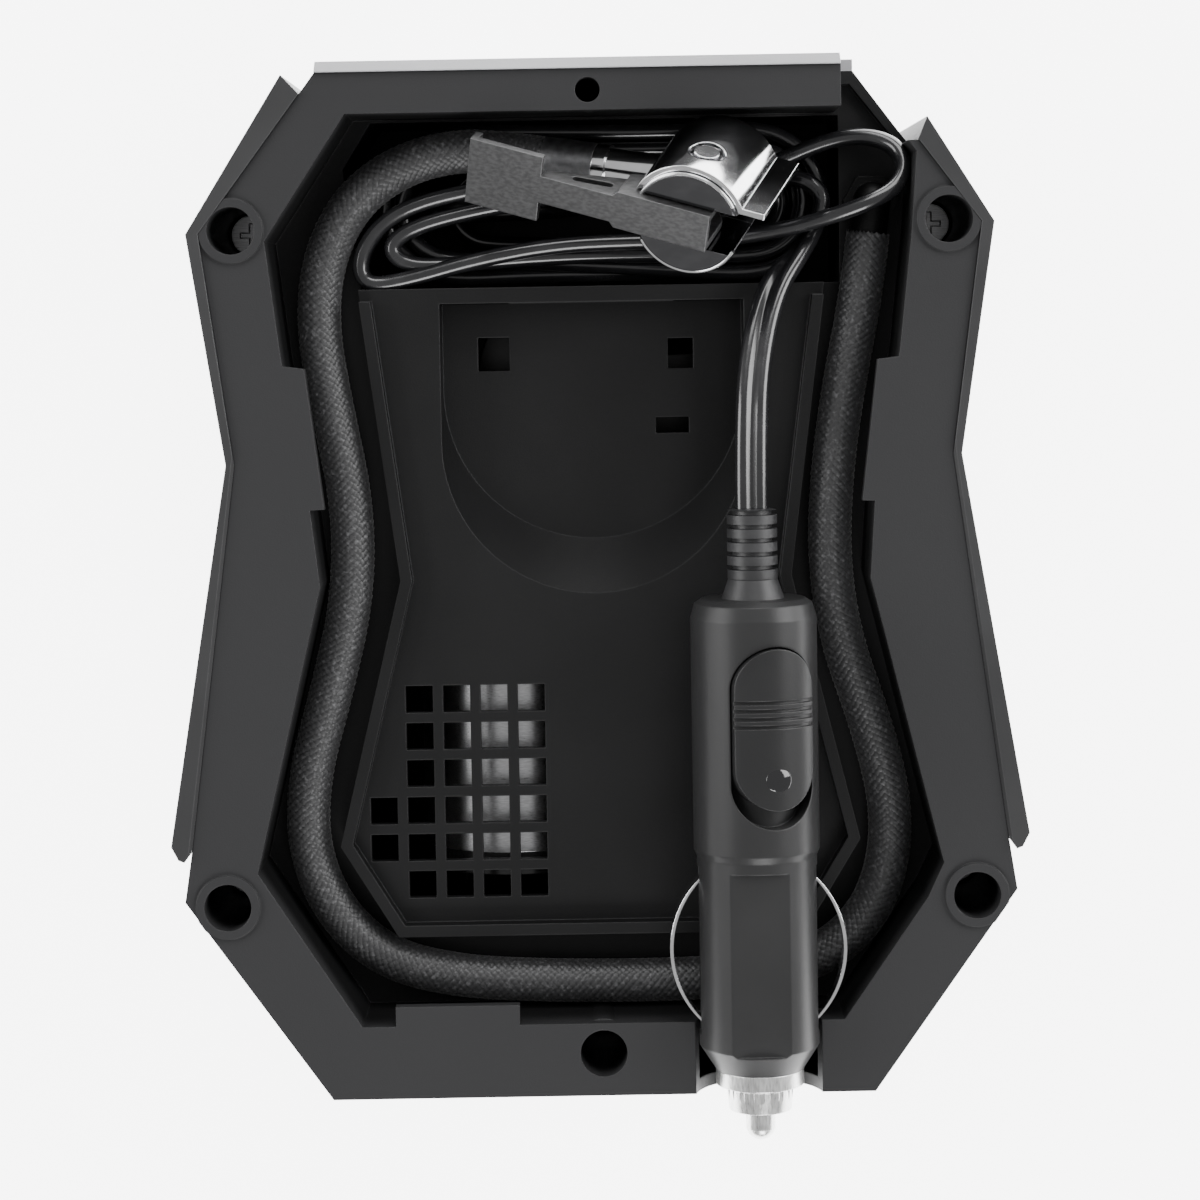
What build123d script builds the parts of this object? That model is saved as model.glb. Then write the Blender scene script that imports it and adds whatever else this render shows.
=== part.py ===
"""Portable 12 V tire inflator, lying on its front face with its storage side up.

Frame: millimetres, +Z up out of the storage side, +Y towards the top of the inflator.
The front face rests on z = 0, and the origin is under the middle of the housing.
"""
from build123d import *
import os
from math import cos, pi, radians, sin, tan

# ---- driving dimensions: housing -------------------------------------------------------
depth = 66.0  # front face to rear rim
wall = 2.2  # housing wall
split_height = 30.0  # joint between front housing and rear cover
top_y = 86.5  # upper edge of the moulded housing
bottom_y = -88.5  # lower edge
top_corner_x = 46.0
notch_x = 48.6
notch_y = 83.0
shoulder_x = 66.1
shoulder_y = 59.7
waist_x = 60.9
waist_y = 20.6
hip_x = 69.6
hip_y = -45.0
foot_x = 71.0
foot_y = -54.0
bottom_corner_x = 46.4
panel_shoulder = 2.1  # thickness of a side panel at the shoulder
panel_waist = 1.4
panel_hip = 3.5
panel_proud = 0.7  # how far the panels stand above the rim
top_panel_thickness = 2.0
panel_foot_height = 5.0  # lower edge of the panels above the front face

# ---- storage well ----------------------------------------------------------------------
tub_wall = 2.0
rim_shoulder = 11.8  # rim width at each corner of the outline
rim_waist = 14.3
rim_hip = 11.1
rim_foot = 15.3
rim_bottom = 12.5
rim_top = 7.0
channel_depth = 18.0  # rim down to the hose channel
island_drop = 12.0  # rim down to the raised middle
rib_drop = 9.0  # rim down to the top of the rib around it
recess_drop = 20.0
bay_depth = 42.0
channel_waist = 12.8  # channel width at each corner
channel_hip = 13.4
channel_foot = 13.5
rib_width = 2.0
island_top_y = 50.0
island_top_x = 40.3
bay_left_x = -40.0
bay_right_x = 43.5
bay_top_y = 79.0
outlet_left_x = 42.7  # start of the opening in the rim for the hose and lead
outlet_drop = 16.0  # how far the wall is cut down there
tab_thickness = 2.2
tab_reach = 4.4

# ---- cover screws ----------------------------------------------------------------------
boss_radius = 5.5
well_hole_radius = 4.0  # access hole above each screw head
screw_radius = 1.9
screw_clearance = 0.25
screw_head_radius = 3.6
screw_head_height = 2.6
screw_seat = 3.0  # floor of the access hole above the split
screw_bite = 14.0  # shank length below the split

# ---- recess, clip windows and grille ------------------------------------------------------
recess_radius = 26.3
recess_arc_y = 23.0
recess_top_y = 47.3
recess_slope = 9.0  # run of the crescent wall at the lower end
grommet_x = -30.0
grommet_y = 64.5
grommet_radius = 3.4
grille_hole = 4.7
grille_pitch = 6.5
grille_x = -21.4  # middle of the four full columns
grille_y = -37.6
grille_rows = 6

# ---- compressor ------------------------------------------------------------------------
axis_height = 22.0  # crank and cylinder axis above the front face
crank_x = 2.0
gear_front_y = -8.0
gear_width = 6.0
gear_module = 0.8
pinion_teeth = 10
gear_teeth = 40
motor_angle = 150.0  # direction from the crank to the motor, about +Y
motor_radius = 16.5
motor_length = 42.0
motor_wall = 1.2
magnet_thickness = 3.2
air_gap = 0.6
shaft_radius = 1.5
crank_radius = 7.0
crank_pin_radius = 2.5
crank_pin_gap = 0.3  # open joint between the crank pin and the rod
rod_length = 32.0
rod_width = 4.5
rod_eye_radius = 5.0
bore_radius = 10.0
piston_clearance = 0.05
piston_height = 11.0
wrist_pin_radius = 2.0
cylinder_wall = 2.0
cylinder_length = 25.0
head_thickness = 8.0
pipe_radius = 2.4

# ---- gauge and switch in the front face -----------------------------------------------------
gauge_y = 32.0
gauge_radius = 21.5
gauge_depth = 17.0
bezel_width = 3.0
face_thickness = 2.6
switch_y = -44.0
switch_length = 21.0
switch_width = 14.5
switch_depth = 12.0
fit = 0.3  # clearance between parts that move past each other
running_fit = 0.05  # radial clearance of a shaft in its hole

# ---- chuck, plug, hose and lead ----------------------------------------------------------------
barrel_radius = 9.2
barrel_length = 22.0
barrel_above_rim = 7.5
barrel_x = 16.0
barrel_y = 59.8
barrel_tilt = (-0.34, -0.46, 0.82)  # direction out of the barrel's near face
stem_turn = 8.0  # the hose stem points this much below the lever
slot_half_width = 3.8
slot_depth = 12.3
saddle_thickness = 1.0
lever_width = 6.8
lever_sheet = 1.2
pin_depth = 7.5  # hinge pin below the barrel's near face
pin_radius = 1.6
valve_bore_radius = 4.05
hose_radius = 3.9
stem_depth = 16.6
ferrule_radius = 3.3
ferrule_end = 21.5  # distances along the stem from the barrel's axis
crimp_end = 31.0
plug_x = 26.5
plug_above_rim = 2.0
plug_top_y = -3.2
plug_radius = 10.7
plug_barrel_y = -45.7
plug_barrel_end_y = -79.2
lead_width = 5.6
lead_thickness = 2.8

channel_z = depth - channel_depth
island_z = depth - island_drop
rib_z = depth - rib_drop
recess_z = depth - recess_drop
bay_z = depth - bay_depth
outlet_z = depth - outlet_drop
flange_z = depth - wall
plug_z = depth + plug_above_rim


def extruded(points, bottom, top, workplane=Plane.XY):
    """A prism on a closed outline, between two heights above its plane."""
    with BuildPart() as prism:
        with BuildSketch(workplane.offset(bottom)):
            with BuildLine():
                Polyline(*points, close=True)
            make_face()
        extrude(amount=top - bottom)
    return prism.part


def grown(points, amount, bottom, top):
    """A prism on an outline moved outwards, or inwards when amount is negative."""
    with BuildPart() as prism:
        with BuildSketch(Plane.XY.offset(bottom)):
            with BuildLine():
                Polyline(*points, close=True)
            make_face()
            offset(amount=amount, kind=Kind.INTERSECTION)
        extrude(amount=top - bottom)
    return prism.part


def rod(radius, start, end):
    """A round bar between two points."""
    start, end = Vector(*start), Vector(*end)
    with BuildPart() as bar:
        with BuildSketch(Plane(origin=start, z_dir=end - start)):
            Circle(radius)
        extrude(amount=(end - start).length)
    return bar.part


def ring(outer, inner, start, end):
    """A tube between two points."""
    start, end = Vector(*start), Vector(*end)
    with BuildPart() as tube:
        with BuildSketch(Plane(origin=start, z_dir=end - start)):
            Circle(outer)
            Circle(inner, mode=Mode.SUBTRACT)
        extrude(amount=(end - start).length)
    return tube.part


def block(x0, x1, y0, y1, z0, z1):
    """A box between two corners."""
    return extruded([(x0, y0), (x1, y0), (x1, y1), (x0, y1)], z0, z1)


def clipped(part, outline, bottom, top):
    """A part cut off where it would stand out of an outline."""
    with BuildPart() as kept:
        add(part)
        add(extruded(outline, bottom, top), mode=Mode.INTERSECT)
    return kept.part


def posts(radius, places, bottom, top):
    """Round posts along Z that stay inside the housing's outline."""
    with BuildPart() as group:
        for x, y in places:
            add(rod(radius, (x, y, bottom), (x, y, top)))
    return clipped(group.part, body_outline, bottom, top)


def mirrored(points):
    """A closed outline from its right half, listed from top to bottom."""
    return points + [(-x, y) for x, y in reversed(points)]


written = []


def write(part, name):
    """Label one finished piece and write its file."""
    part.label = name
    export_step(part, f"parts/{name}.step")
    written.append(name)


os.makedirs("parts", exist_ok=True)

# ---- outlines ----------------------------------------------------------------------------
right_side = [
    (top_corner_x, top_y),
    (notch_x, notch_y),
    (shoulder_x, shoulder_y),
    (waist_x, waist_y),
    (hip_x, hip_y),
    (foot_x, foot_y),
    (bottom_corner_x, bottom_y),
]
body_outline = mirrored(right_side)

well_shoulder_x = shoulder_x - rim_shoulder
well_waist_x = waist_x - rim_waist
well_hip_x = hip_x - rim_hip
well_foot_x = foot_x - rim_foot
well_top_y = top_y - rim_top
well_bottom_y = bottom_y + rim_bottom
well_waist_y = waist_y - 21.0
well_hip_y = hip_y - 4.3
well_top_x = top_corner_x - 5.0
well_foot_corner_x = bottom_corner_x - 5.2
skirt_top_y = top_y - wall
well_outline = [
    (outlet_left_x, well_top_y),
    (-well_top_x, well_top_y),
    (-well_shoulder_x - 0.7, shoulder_y - 1.4),
    (-well_shoulder_x + 1.7, shoulder_y - 21.2),
    (-well_waist_x - 1.6, well_waist_y + 12.6),
    (-well_waist_x - 0.2, well_waist_y),
    (-well_hip_x, well_hip_y),
    (-well_foot_corner_x, well_bottom_y),
    (well_foot_corner_x, well_bottom_y),
    (well_foot_x, foot_y - 1.2),
    (well_hip_x, well_hip_y),
    (well_waist_x, well_waist_y),
    (well_waist_x + 0.9, well_waist_y + 13.0),
    (well_shoulder_x - 2.2, shoulder_y - 21.2),
    (well_shoulder_x, shoulder_y - 1.4),
    (well_shoulder_x + 1.0, shoulder_y + 12.0),
    (top_corner_x - 0.6, skirt_top_y),
    (outlet_left_x, skirt_top_y),
]
island_outline = mirrored(
    [
        (island_top_x, island_top_y),
        (well_waist_x - channel_waist, well_waist_y),
        (well_hip_x - channel_hip, well_hip_y + 2.8),
        (well_hip_x - channel_hip - 9.8, well_bottom_y + channel_foot),
    ]
)
bay_outline = [
    (bay_left_x, island_top_y),
    (bay_right_x, island_top_y),
    (bay_right_x, bay_top_y),
    (bay_left_x + 2.0, bay_top_y),
    (bay_left_x - 3.0, bay_top_y - 8.0),
]
outlet_outline = [
    (outlet_left_x, top_y + 20.0),
    (outlet_left_x, well_top_y - 6.0),
    (well_shoulder_x + 1.2, well_top_y - 6.0),
    (well_shoulder_x + 4.4, well_top_y + 2.0),
    (well_shoulder_x + 9.0, top_y + 20.0),
]
outlet_cut = extruded(outlet_outline, outlet_z, depth + 10.0)

# ---- cover screws and their places ---------------------------------------------------------
corner_bosses = [
    (shoulder_x - boss_radius, shoulder_y + 0.5),
    (-shoulder_x + boss_radius, shoulder_y + 0.5),
    (hip_x - boss_radius, foot_y - 0.9),
    (-hip_x + boss_radius + 0.4, foot_y - 0.9),
]
bottom_boss = (0.0, bottom_y + 7.3)
top_boss = (0.0, top_y - 3.6)
top_hole_radius = 2.1
boss_places = corner_bosses + [bottom_boss]
screw_seat_z = split_height + screw_seat

# ---- storage recess: straight sides, a half-round lower end and a sloped crescent wall ---------
with BuildPart() as recess_tub:
    with BuildSketch(Plane.XY.offset(recess_z - tub_wall)):
        with Locations((0, recess_arc_y)):
            Circle(recess_radius + tub_wall)
        with Locations((0, (recess_arc_y + recess_top_y) / 2)):
            Rectangle(2 * (recess_radius + tub_wall), recess_top_y - recess_arc_y)
    extrude(amount=recess_drop - island_drop)
    add(
        block(
            -2 * recess_radius, 2 * recess_radius, -recess_radius, recess_top_y + tub_wall,
            recess_z - tub_wall, island_z,
        ),
        mode=Mode.INTERSECT,
    )

with BuildPart() as recess_pocket:
    with BuildSketch(Plane.XY.offset(island_z)):
        with Locations((0, recess_arc_y)):
            Circle(recess_radius)
    with BuildSketch(Plane.XY.offset(recess_z)):
        with Locations((0, recess_arc_y + recess_slope)):
            Circle(recess_radius)
    loft(ruled=True)
    with BuildSketch(Plane.YZ.offset(-recess_radius)):
        with BuildLine():
            Polyline(
                (recess_arc_y, island_z), (recess_arc_y + recess_slope, recess_z),
                (recess_top_y, recess_z), (recess_top_y, island_z),
                close=True,
            )
        make_face()
    extrude(amount=2 * recess_radius)
    add(
        block(
            -2 * recess_radius, 2 * recess_radius, -recess_radius, recess_top_y,
            recess_z, island_z,
        ),
        mode=Mode.INTERSECT,
    )

# ---- rear cover: rim, storage well, island and grille ----------------------------------------
with BuildPart() as rear_cover:
    add(extruded(body_outline, split_height, depth))
    add(grown(body_outline, -wall, split_height, flange_z), mode=Mode.SUBTRACT)
    # the tub that holds the hose, and the deep bay for the lead
    add(clipped(grown(well_outline, tub_wall, channel_z - tub_wall, depth), body_outline,
                channel_z - tub_wall, depth))
    add(grown(bay_outline, tub_wall, bay_z - tub_wall, channel_z))
    add(extruded(well_outline, channel_z, depth), mode=Mode.SUBTRACT)
    add(extruded(bay_outline, bay_z, depth), mode=Mode.SUBTRACT)
    add(
        rod(
            grommet_radius + fit / 2, (grommet_x, grommet_y, bay_z - tub_wall - 1.0),
            (grommet_x, grommet_y, bay_z + 1.0),
        ),
        mode=Mode.SUBTRACT,
    )
    # the raised island with its rib, hollow underneath, open at the top end
    add(extruded(island_outline, channel_z, rib_z))
    add(
        grown(island_outline, -rib_width, island_z, rib_z),
        mode=Mode.SUBTRACT,
    )
    add(
        block(
            -island_top_x, island_top_x,
            island_top_y - rib_width - 0.1, island_top_y + 1.0, island_z, rib_z,
        ),
        mode=Mode.SUBTRACT,
    )
    add(
        grown(island_outline, -rib_width, channel_z - tub_wall, island_z - tub_wall),
        mode=Mode.SUBTRACT,
    )
    # storage recess
    add(recess_tub.part)
    add(recess_pocket.part, mode=Mode.SUBTRACT)
    # clip windows through the recess floor
    with BuildSketch(Plane.XY.offset(recess_z - tub_wall - 1.0)):
        with Locations((-17.3, 38.3)):
            Rectangle(5.5, 5.9)
        with Locations((15.5, 38.0)):
            Rectangle(4.4, 5.3)
        with Locations((13.9, 25.4)):
            Rectangle(5.8, 2.8)
    extrude(amount=tub_wall + 2.0, mode=Mode.SUBTRACT)
    # cooling grille
    with BuildSketch(Plane.XY.offset(island_z - tub_wall - 1.0)):
        with Locations((grille_x, grille_y)):
            with GridLocations(grille_pitch, grille_pitch, 4, grille_rows):
                Rectangle(grille_hole, grille_hole)
        with Locations((grille_x - 2.5 * grille_pitch, grille_y - grille_pitch)):
            with GridLocations(grille_pitch, grille_pitch, 1, 2):
                Rectangle(grille_hole, grille_hole)
    extrude(amount=tub_wall + 2.0, mode=Mode.SUBTRACT)
    # screw bosses with raised rings
    add(posts(boss_radius, corner_bosses, split_height, depth + 0.6))
    add(posts(boss_radius, [bottom_boss], split_height, flange_z))
    add(posts(top_hole_radius + 1.4, [top_boss], split_height, flange_z))
    for x, y in boss_places:
        add(
            rod(well_hole_radius, (x, y, screw_seat_z), (x, y, depth + 2.0)),
            mode=Mode.SUBTRACT,
        )
        add(
            rod(screw_radius + screw_clearance, (x, y, 0.0), (x, y, depth)),
            mode=Mode.SUBTRACT,
        )
    add(
        rod(top_hole_radius, (*top_boss, screw_seat_z), (*top_boss, depth + 1.0)),
        mode=Mode.SUBTRACT,
    )
    # retention tabs that reach over the hose
    for side in (-1, 1):
        reach_x = well_shoulder_x - 6.0 if side > 0 else well_shoulder_x - 5.6
        add(
            extruded(
                [
                    (side * (well_shoulder_x + 2.0), shoulder_y - 22.0),
                    (side * reach_x, shoulder_y - 23.0),
                    (side * (reach_x - 2.9), waist_y - 7.8),
                    (side * (well_waist_x + 4.0), waist_y - 8.0),
                ],
                depth - tab_thickness,
                depth,
            )
        )
    add(
        block(
            -35.5, -14.3, well_bottom_y - 1.0, well_bottom_y + tab_reach - 1.0,
            depth - tab_thickness, depth,
        )
    )
    # the saddle in the lower rim and in the rib, where the plug lies
    add(
        rod(
            plug_radius + fit, (plug_x, bottom_y - 1.0, plug_z),
            (plug_x, well_bottom_y + 3.0, plug_z),
        ),
        mode=Mode.SUBTRACT,
    )
    # the opening in the rim for the hose and the lead, and the elbow's hole
    add(outlet_cut, mode=Mode.SUBTRACT)
    elbow_x, elbow_y = bay_right_x + 5.5, island_top_y + 14.0
    add(
        rod(
            pipe_radius + 1.6, (elbow_x, elbow_y, channel_z - 3.0),
            (elbow_x, elbow_y, channel_z + 1.0),
        ),
        mode=Mode.SUBTRACT,
    )
write(rear_cover.part, "rear_cover")

# ---- front housing -------------------------------------------------------------------------
post_front_y = gear_front_y - 25.0
post_back_y = gear_front_y - 8.0
frame_posts = [
    (-26.0, post_front_y), (12.0, post_front_y), (-26.0, post_back_y), (19.5, post_back_y)
]
post_top = 6.0
with BuildPart() as front_housing:
    add(extruded(body_outline, 0.0, split_height))
    chamfer(front_housing.faces().sort_by(Axis.Z)[0].edges(), 1.4)
    add(grown(body_outline, -wall, face_thickness, split_height), mode=Mode.SUBTRACT)
    add(posts(boss_radius, boss_places, face_thickness - 0.5, split_height))
    for x, y in boss_places:
        add(
            rod(screw_radius, (x, y, split_height - screw_bite - 2.0), (x, y, depth)),
            mode=Mode.SUBTRACT,
        )
    for x, y in frame_posts:
        add(rod(3.0, (x, y, face_thickness - 0.5), (x, y, post_top)))
    # the round well of the gauge and the window of the rocker switch
    add(
        rod(gauge_radius + fit, (0, gauge_y, -1.0), (0, gauge_y, face_thickness + 1.0)),
        mode=Mode.SUBTRACT,
    )
    add(
        block(
            -switch_length / 2, switch_length / 2,
            switch_y - switch_width / 2, switch_y + switch_width / 2,
            -1.0, face_thickness + 1.0,
        ),
        mode=Mode.SUBTRACT,
    )
write(front_housing.part, "front_housing")

# ---- side panels and top panel ----------------------------------------------------------------
panel_outline = [
    (notch_x, notch_y),
    (notch_x + 3.0, notch_y + 3.2),
    (shoulder_x + panel_shoulder, shoulder_y),
    (waist_x + panel_waist, waist_y),
    (hip_x + panel_hip, hip_y + 0.7),
    (hip_x + panel_hip - 1.2, hip_y - 1.6),
    (hip_x + 1.3, hip_y - 2.0),
    (hip_x, hip_y),
    (waist_x, waist_y),
    (shoulder_x, shoulder_y),
]
for side, name in ((-1, "left_side_panel"), (1, "right_side_panel")):
    with BuildPart() as panel:
        add(
            extruded(
                [(side * x, y) for x, y in panel_outline],
                panel_foot_height,
                depth + panel_proud,
            )
        )
        if side > 0:
            add(extruded(outlet_outline, 0.0, depth + 10.0), mode=Mode.SUBTRACT)
        chamfer(panel.faces().sort_by(Axis.Z)[-1].edges().group_by(Edge.length)[-1], 0.5)
    write(panel.part, name)

with BuildPart() as top_panel:
    with BuildSketch(Plane.YZ.offset(-top_corner_x)):
        with BuildLine():
            Polyline(
                (top_y, panel_foot_height),
                (top_y + top_panel_thickness - 0.6, panel_foot_height),
                (top_y + top_panel_thickness, panel_foot_height + 2.0),
                (top_y + top_panel_thickness, depth - 1.8),
                (top_y, depth + panel_proud),
                close=True,
            )
        make_face()
    extrude(amount=2 * top_corner_x)
    add(outlet_cut, mode=Mode.SUBTRACT)
write(top_panel.part, "top_panel")

# ---- cover screws, one node --------------------------------------------------------------------
with BuildPart() as cover_screws:
    for x, y in boss_places:
        with BuildSketch(Plane.XY.offset(split_height - screw_bite)):
            with Locations((x, y)):
                Circle(screw_radius - running_fit)
        extrude(amount=screw_bite + screw_seat)
        with BuildSketch(Plane.XY.offset(screw_seat_z)):
            with Locations((x, y)):
                Circle(screw_head_radius)
        extrude(amount=screw_head_height)
        for angle in (0, 90):
            with BuildSketch(Plane.XY.offset(screw_seat_z + screw_head_height)):
                with Locations((x, y)):
                    Rectangle(4.2, 0.9, rotation=angle)
            extrude(amount=-1.4, mode=Mode.SUBTRACT)
write(cover_screws.part, "cover_screws")

# ---- gauge in the front face ---------------------------------------------------------------------
gauge_floor = gauge_depth
gauge_inner = gauge_radius - 1.6
gauge_recess = 1.0  # the glass lies this far behind the front face
with BuildPart() as gauge_case:
    add(rod(gauge_radius, (0, gauge_y, gauge_recess), (0, gauge_y, gauge_floor)))
    add(
        rod(gauge_inner, (0, gauge_y, 0.0), (0, gauge_y, gauge_floor - 1.6)),
        mode=Mode.SUBTRACT,
    )
    add(ring(gauge_radius + 3.0, gauge_radius - 0.1, (0, gauge_y, face_thickness), (0, gauge_y, 4.2)))
    add(
        rod(pipe_radius, (0, gauge_y + 6.0, gauge_floor - 3.0), (0, gauge_y + 6.0, gauge_floor + 1.0)),
        mode=Mode.SUBTRACT,
    )
write(gauge_case.part, "gauge_case")

dial_z = 7.0
with BuildPart() as gauge_dial:
    add(rod(gauge_inner - 0.1, (0, gauge_y, dial_z), (0, gauge_y, dial_z + 0.8)))
    add(
        rod(1.3, (0, gauge_y, dial_z - 1.0), (0, gauge_y, dial_z + 2.0)),
        mode=Mode.SUBTRACT,
    )
write(gauge_dial.part, "gauge_dial")

with BuildPart() as gauge_lens:
    add(rod(gauge_inner - 0.1, (0, gauge_y, 1.6), (0, gauge_y, 3.2)))
write(gauge_lens.part, "gauge_lens")

with BuildPart() as gauge_bezel:
    add(
        ring(
            gauge_radius, gauge_radius - bezel_width,
            (0, gauge_y, 0.3), (0, gauge_y, gauge_recess),
        )
    )
    chamfer(gauge_bezel.faces().sort_by(Axis.Z)[0].edges().sort_by(Edge.length)[0], 0.4)
write(gauge_bezel.part, "gauge_bezel")

needle_length = gauge_inner - 5.0
needle_zero = -135.0  # turn from straight up to the zero mark
with BuildPart() as gauge_needle:
    with BuildSketch(Plane.XY.offset(dial_z - 2.0)):
        with BuildLine():
            Polyline(
                (-1.0, gauge_y - 4.5), (1.0, gauge_y - 4.5),
                (0.35, gauge_y + needle_length), (-0.35, gauge_y + needle_length),
                close=True,
            )
        make_face()
        with Locations((0, gauge_y)):
            Circle(2.2)
    extrude(amount=0.6)
    add(rod(0.8, (0, gauge_y, dial_z - 2.4), (0, gauge_y, dial_z + 4.0)))
resting_needle = gauge_needle.part.rotate(Axis((0, gauge_y, 0), (0, 0, 1)), needle_zero)
write(resting_needle, "gauge_needle")

with BuildPart() as gauge_movement:
    add(block(-5.0, 5.0, gauge_y - 9.0, gauge_y + 9.0, dial_z + 4.5, gauge_floor - 1.6))
    add(
        ring(
            2.6, 0.8 + running_fit,
            (0, gauge_y, dial_z + 0.8 + fit), (0, gauge_y, dial_z + 4.5),
        )
    )
    add(
        rod(0.8 + running_fit, (0, gauge_y, dial_z + 2.0), (0, gauge_y, dial_z + 4.5)),
        mode=Mode.SUBTRACT,
    )
write(gauge_movement.part, "gauge_movement")

with BuildPart() as bourdon_tube:
    with BuildSketch(Plane.XY.offset(dial_z + 2.0)):
        with Locations((0, gauge_y)):
            Circle(gauge_inner - 3.0)
            Circle(gauge_inner - 5.6, mode=Mode.SUBTRACT)
        with Locations((-gauge_inner / 2, gauge_y - gauge_inner / 2)):
            Rectangle(gauge_inner, gauge_inner, mode=Mode.SUBTRACT)
    extrude(amount=5.4)
write(bourdon_tube.part, "bourdon_tube")

# ---- rocker switch in the front face -----------------------------------------------------------------
with BuildPart() as rocker_switch_body:
    add(
        block(
            -switch_length / 2 + 0.2, switch_length / 2 - 0.2,
            switch_y - switch_width / 2 + 0.2, switch_y + switch_width / 2 - 0.2,
            0.8, switch_depth,
        )
    )
    add(
        block(
            -switch_length / 2 + 1.8, switch_length / 2 - 1.8,
            switch_y - switch_width / 2 + 1.8, switch_y + switch_width / 2 - 1.8,
            0.0, switch_depth - 2.0,
        ),
        mode=Mode.SUBTRACT,
    )
    for x in (-6.0, 0.0, 6.0):
        add(block(x - 0.4, x + 0.4, switch_y - 2.4, switch_y + 2.4, switch_depth, switch_depth + 2.6))
write(rocker_switch_body.part, "rocker_switch_body")

rocker_half = switch_length / 2 - 3.0
with BuildPart() as rocker_button:
    with BuildSketch(Plane.XZ.offset(-switch_y - switch_width / 2 + 2.2)):
        with BuildLine():
            Polyline(
                (-rocker_half, 1.5), (0.0, 2.7), (rocker_half, 1.5),
                (rocker_half, 4.0), (2.6, 8.0), (-2.6, 8.0), (-rocker_half, 4.0),
                close=True,
            )
        make_face()
    extrude(amount=switch_width - 4.4)
write(rocker_button.part, "rocker_button")

# ---- compressor: motor, gears and frame ----------------------------------------------------------------
# All shafts run along Y. An XZ sketch plane has +X to the right and +Z up, and faces -Y.
centre_distance = gear_module * (pinion_teeth + gear_teeth) / 2
motor_x = crank_x + centre_distance * cos(radians(motor_angle))
motor_z = axis_height + centre_distance * sin(radians(motor_angle))
gear_back_y = gear_front_y + gear_width
frame_sheet = 2.5
frame_back_y = gear_front_y - 1.0
frame_front_y = frame_back_y - frame_sheet
motor_front_y = frame_front_y
motor_back_y = motor_front_y - motor_length
rod_front_y = gear_back_y + 1.0
rod_back_y = rod_front_y + rod_width
piston_y = (rod_front_y + rod_back_y) / 2
wrist_x = crank_x + crank_radius + rod_length
crown_x = wrist_x + piston_height / 2 + 0.5
piston_foot_x = crown_x - piston_height
seat_back_x = piston_foot_x - 2 * crank_radius + 2.0
seat_front_x = seat_back_x - 3.0
cylinder_start_x = seat_back_x
cylinder_end_x = cylinder_start_x + cylinder_length
head_end_x = cylinder_end_x + head_thickness
cylinder_radius = bore_radius + cylinder_wall
bolt_spread = 10.3
bolt_radius = 1.4
bolt_places = [
    (piston_y + a * bolt_spread, axis_height + b * bolt_spread)
    for a in (-1, 1) for b in (-1, 1)
]


def gear_wheel(teeth, x, z, first_angle, front_y, back_y, hole):
    """A spur wheel on an axis along Y, with its first tooth at an angle in degrees."""
    pitch_radius = gear_module * teeth / 2
    root = pitch_radius - 1.0 * gear_module
    tip = pitch_radius + 0.6 * gear_module
    half = pi * gear_module * 0.18
    with BuildPart() as wheel:
        with BuildSketch(Plane(origin=(x, front_y, z), x_dir=(1, 0, 0), z_dir=(0, 1, 0))):
            Circle(root)
            with PolarLocations(0, teeth, start_angle=-first_angle):
                with BuildLine():
                    Polyline(
                        (root - 0.4, -half * 1.5), (pitch_radius, -half),
                        (tip, -half * 0.6), (tip, half * 0.6),
                        (pitch_radius, half), (root - 0.4, half * 1.5),
                        close=True,
                    )
                make_face()
            Circle(hole, mode=Mode.SUBTRACT)
        extrude(amount=back_y - front_y)
    return wheel.part


with BuildPart() as motor_can:
    add(ring(motor_radius, motor_radius - motor_wall,
             (motor_x, motor_back_y + 4.0, motor_z), (motor_x, motor_front_y, motor_z)))
    add(ring(motor_radius, 3.0 + running_fit,
             (motor_x, motor_front_y - motor_wall, motor_z), (motor_x, motor_front_y, motor_z)))
write(motor_can.part, "motor_can")

magnet_outer = motor_radius - motor_wall - 0.02
magnet_inner = magnet_outer - magnet_thickness
with BuildPart() as motor_magnets:
    add(ring(magnet_outer, magnet_inner,
             (motor_x, motor_back_y + 8.0, motor_z), (motor_x, motor_front_y - 5.0, motor_z)))
    add(block(motor_x - 2.5, motor_x + 2.5, motor_back_y, motor_front_y,
              motor_z - motor_radius, motor_z + motor_radius), mode=Mode.SUBTRACT)
write(motor_magnets.part, "motor_magnets")

with BuildPart() as motor_end_cap:
    add(rod(motor_radius, (motor_x, motor_back_y, motor_z), (motor_x, motor_back_y + 4.0, motor_z)))
    add(rod(3.0 + running_fit, (motor_x, motor_back_y + 1.5, motor_z),
            (motor_x, motor_back_y + 5.0, motor_z)), mode=Mode.SUBTRACT)
    for x in (-9.0, 9.0):
        add(block(motor_x + x - 0.4, motor_x + x + 0.4, motor_back_y - 4.0, motor_back_y + 0.5,
                  motor_z - 2.5, motor_z + 2.5))
write(motor_end_cap.part, "motor_end_cap")

shaft_back_y = motor_back_y + 2.0
with BuildPart() as motor_bushes:
    add(ring(3.0, shaft_radius + running_fit,
             (motor_x, motor_back_y + 1.5, motor_z), (motor_x, motor_back_y + 4.0, motor_z)))
    add(ring(3.0, shaft_radius + running_fit,
             (motor_x, motor_front_y - 3.0, motor_z), (motor_x, motor_front_y, motor_z)))
write(motor_bushes.part, "motor_bushes")

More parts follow.
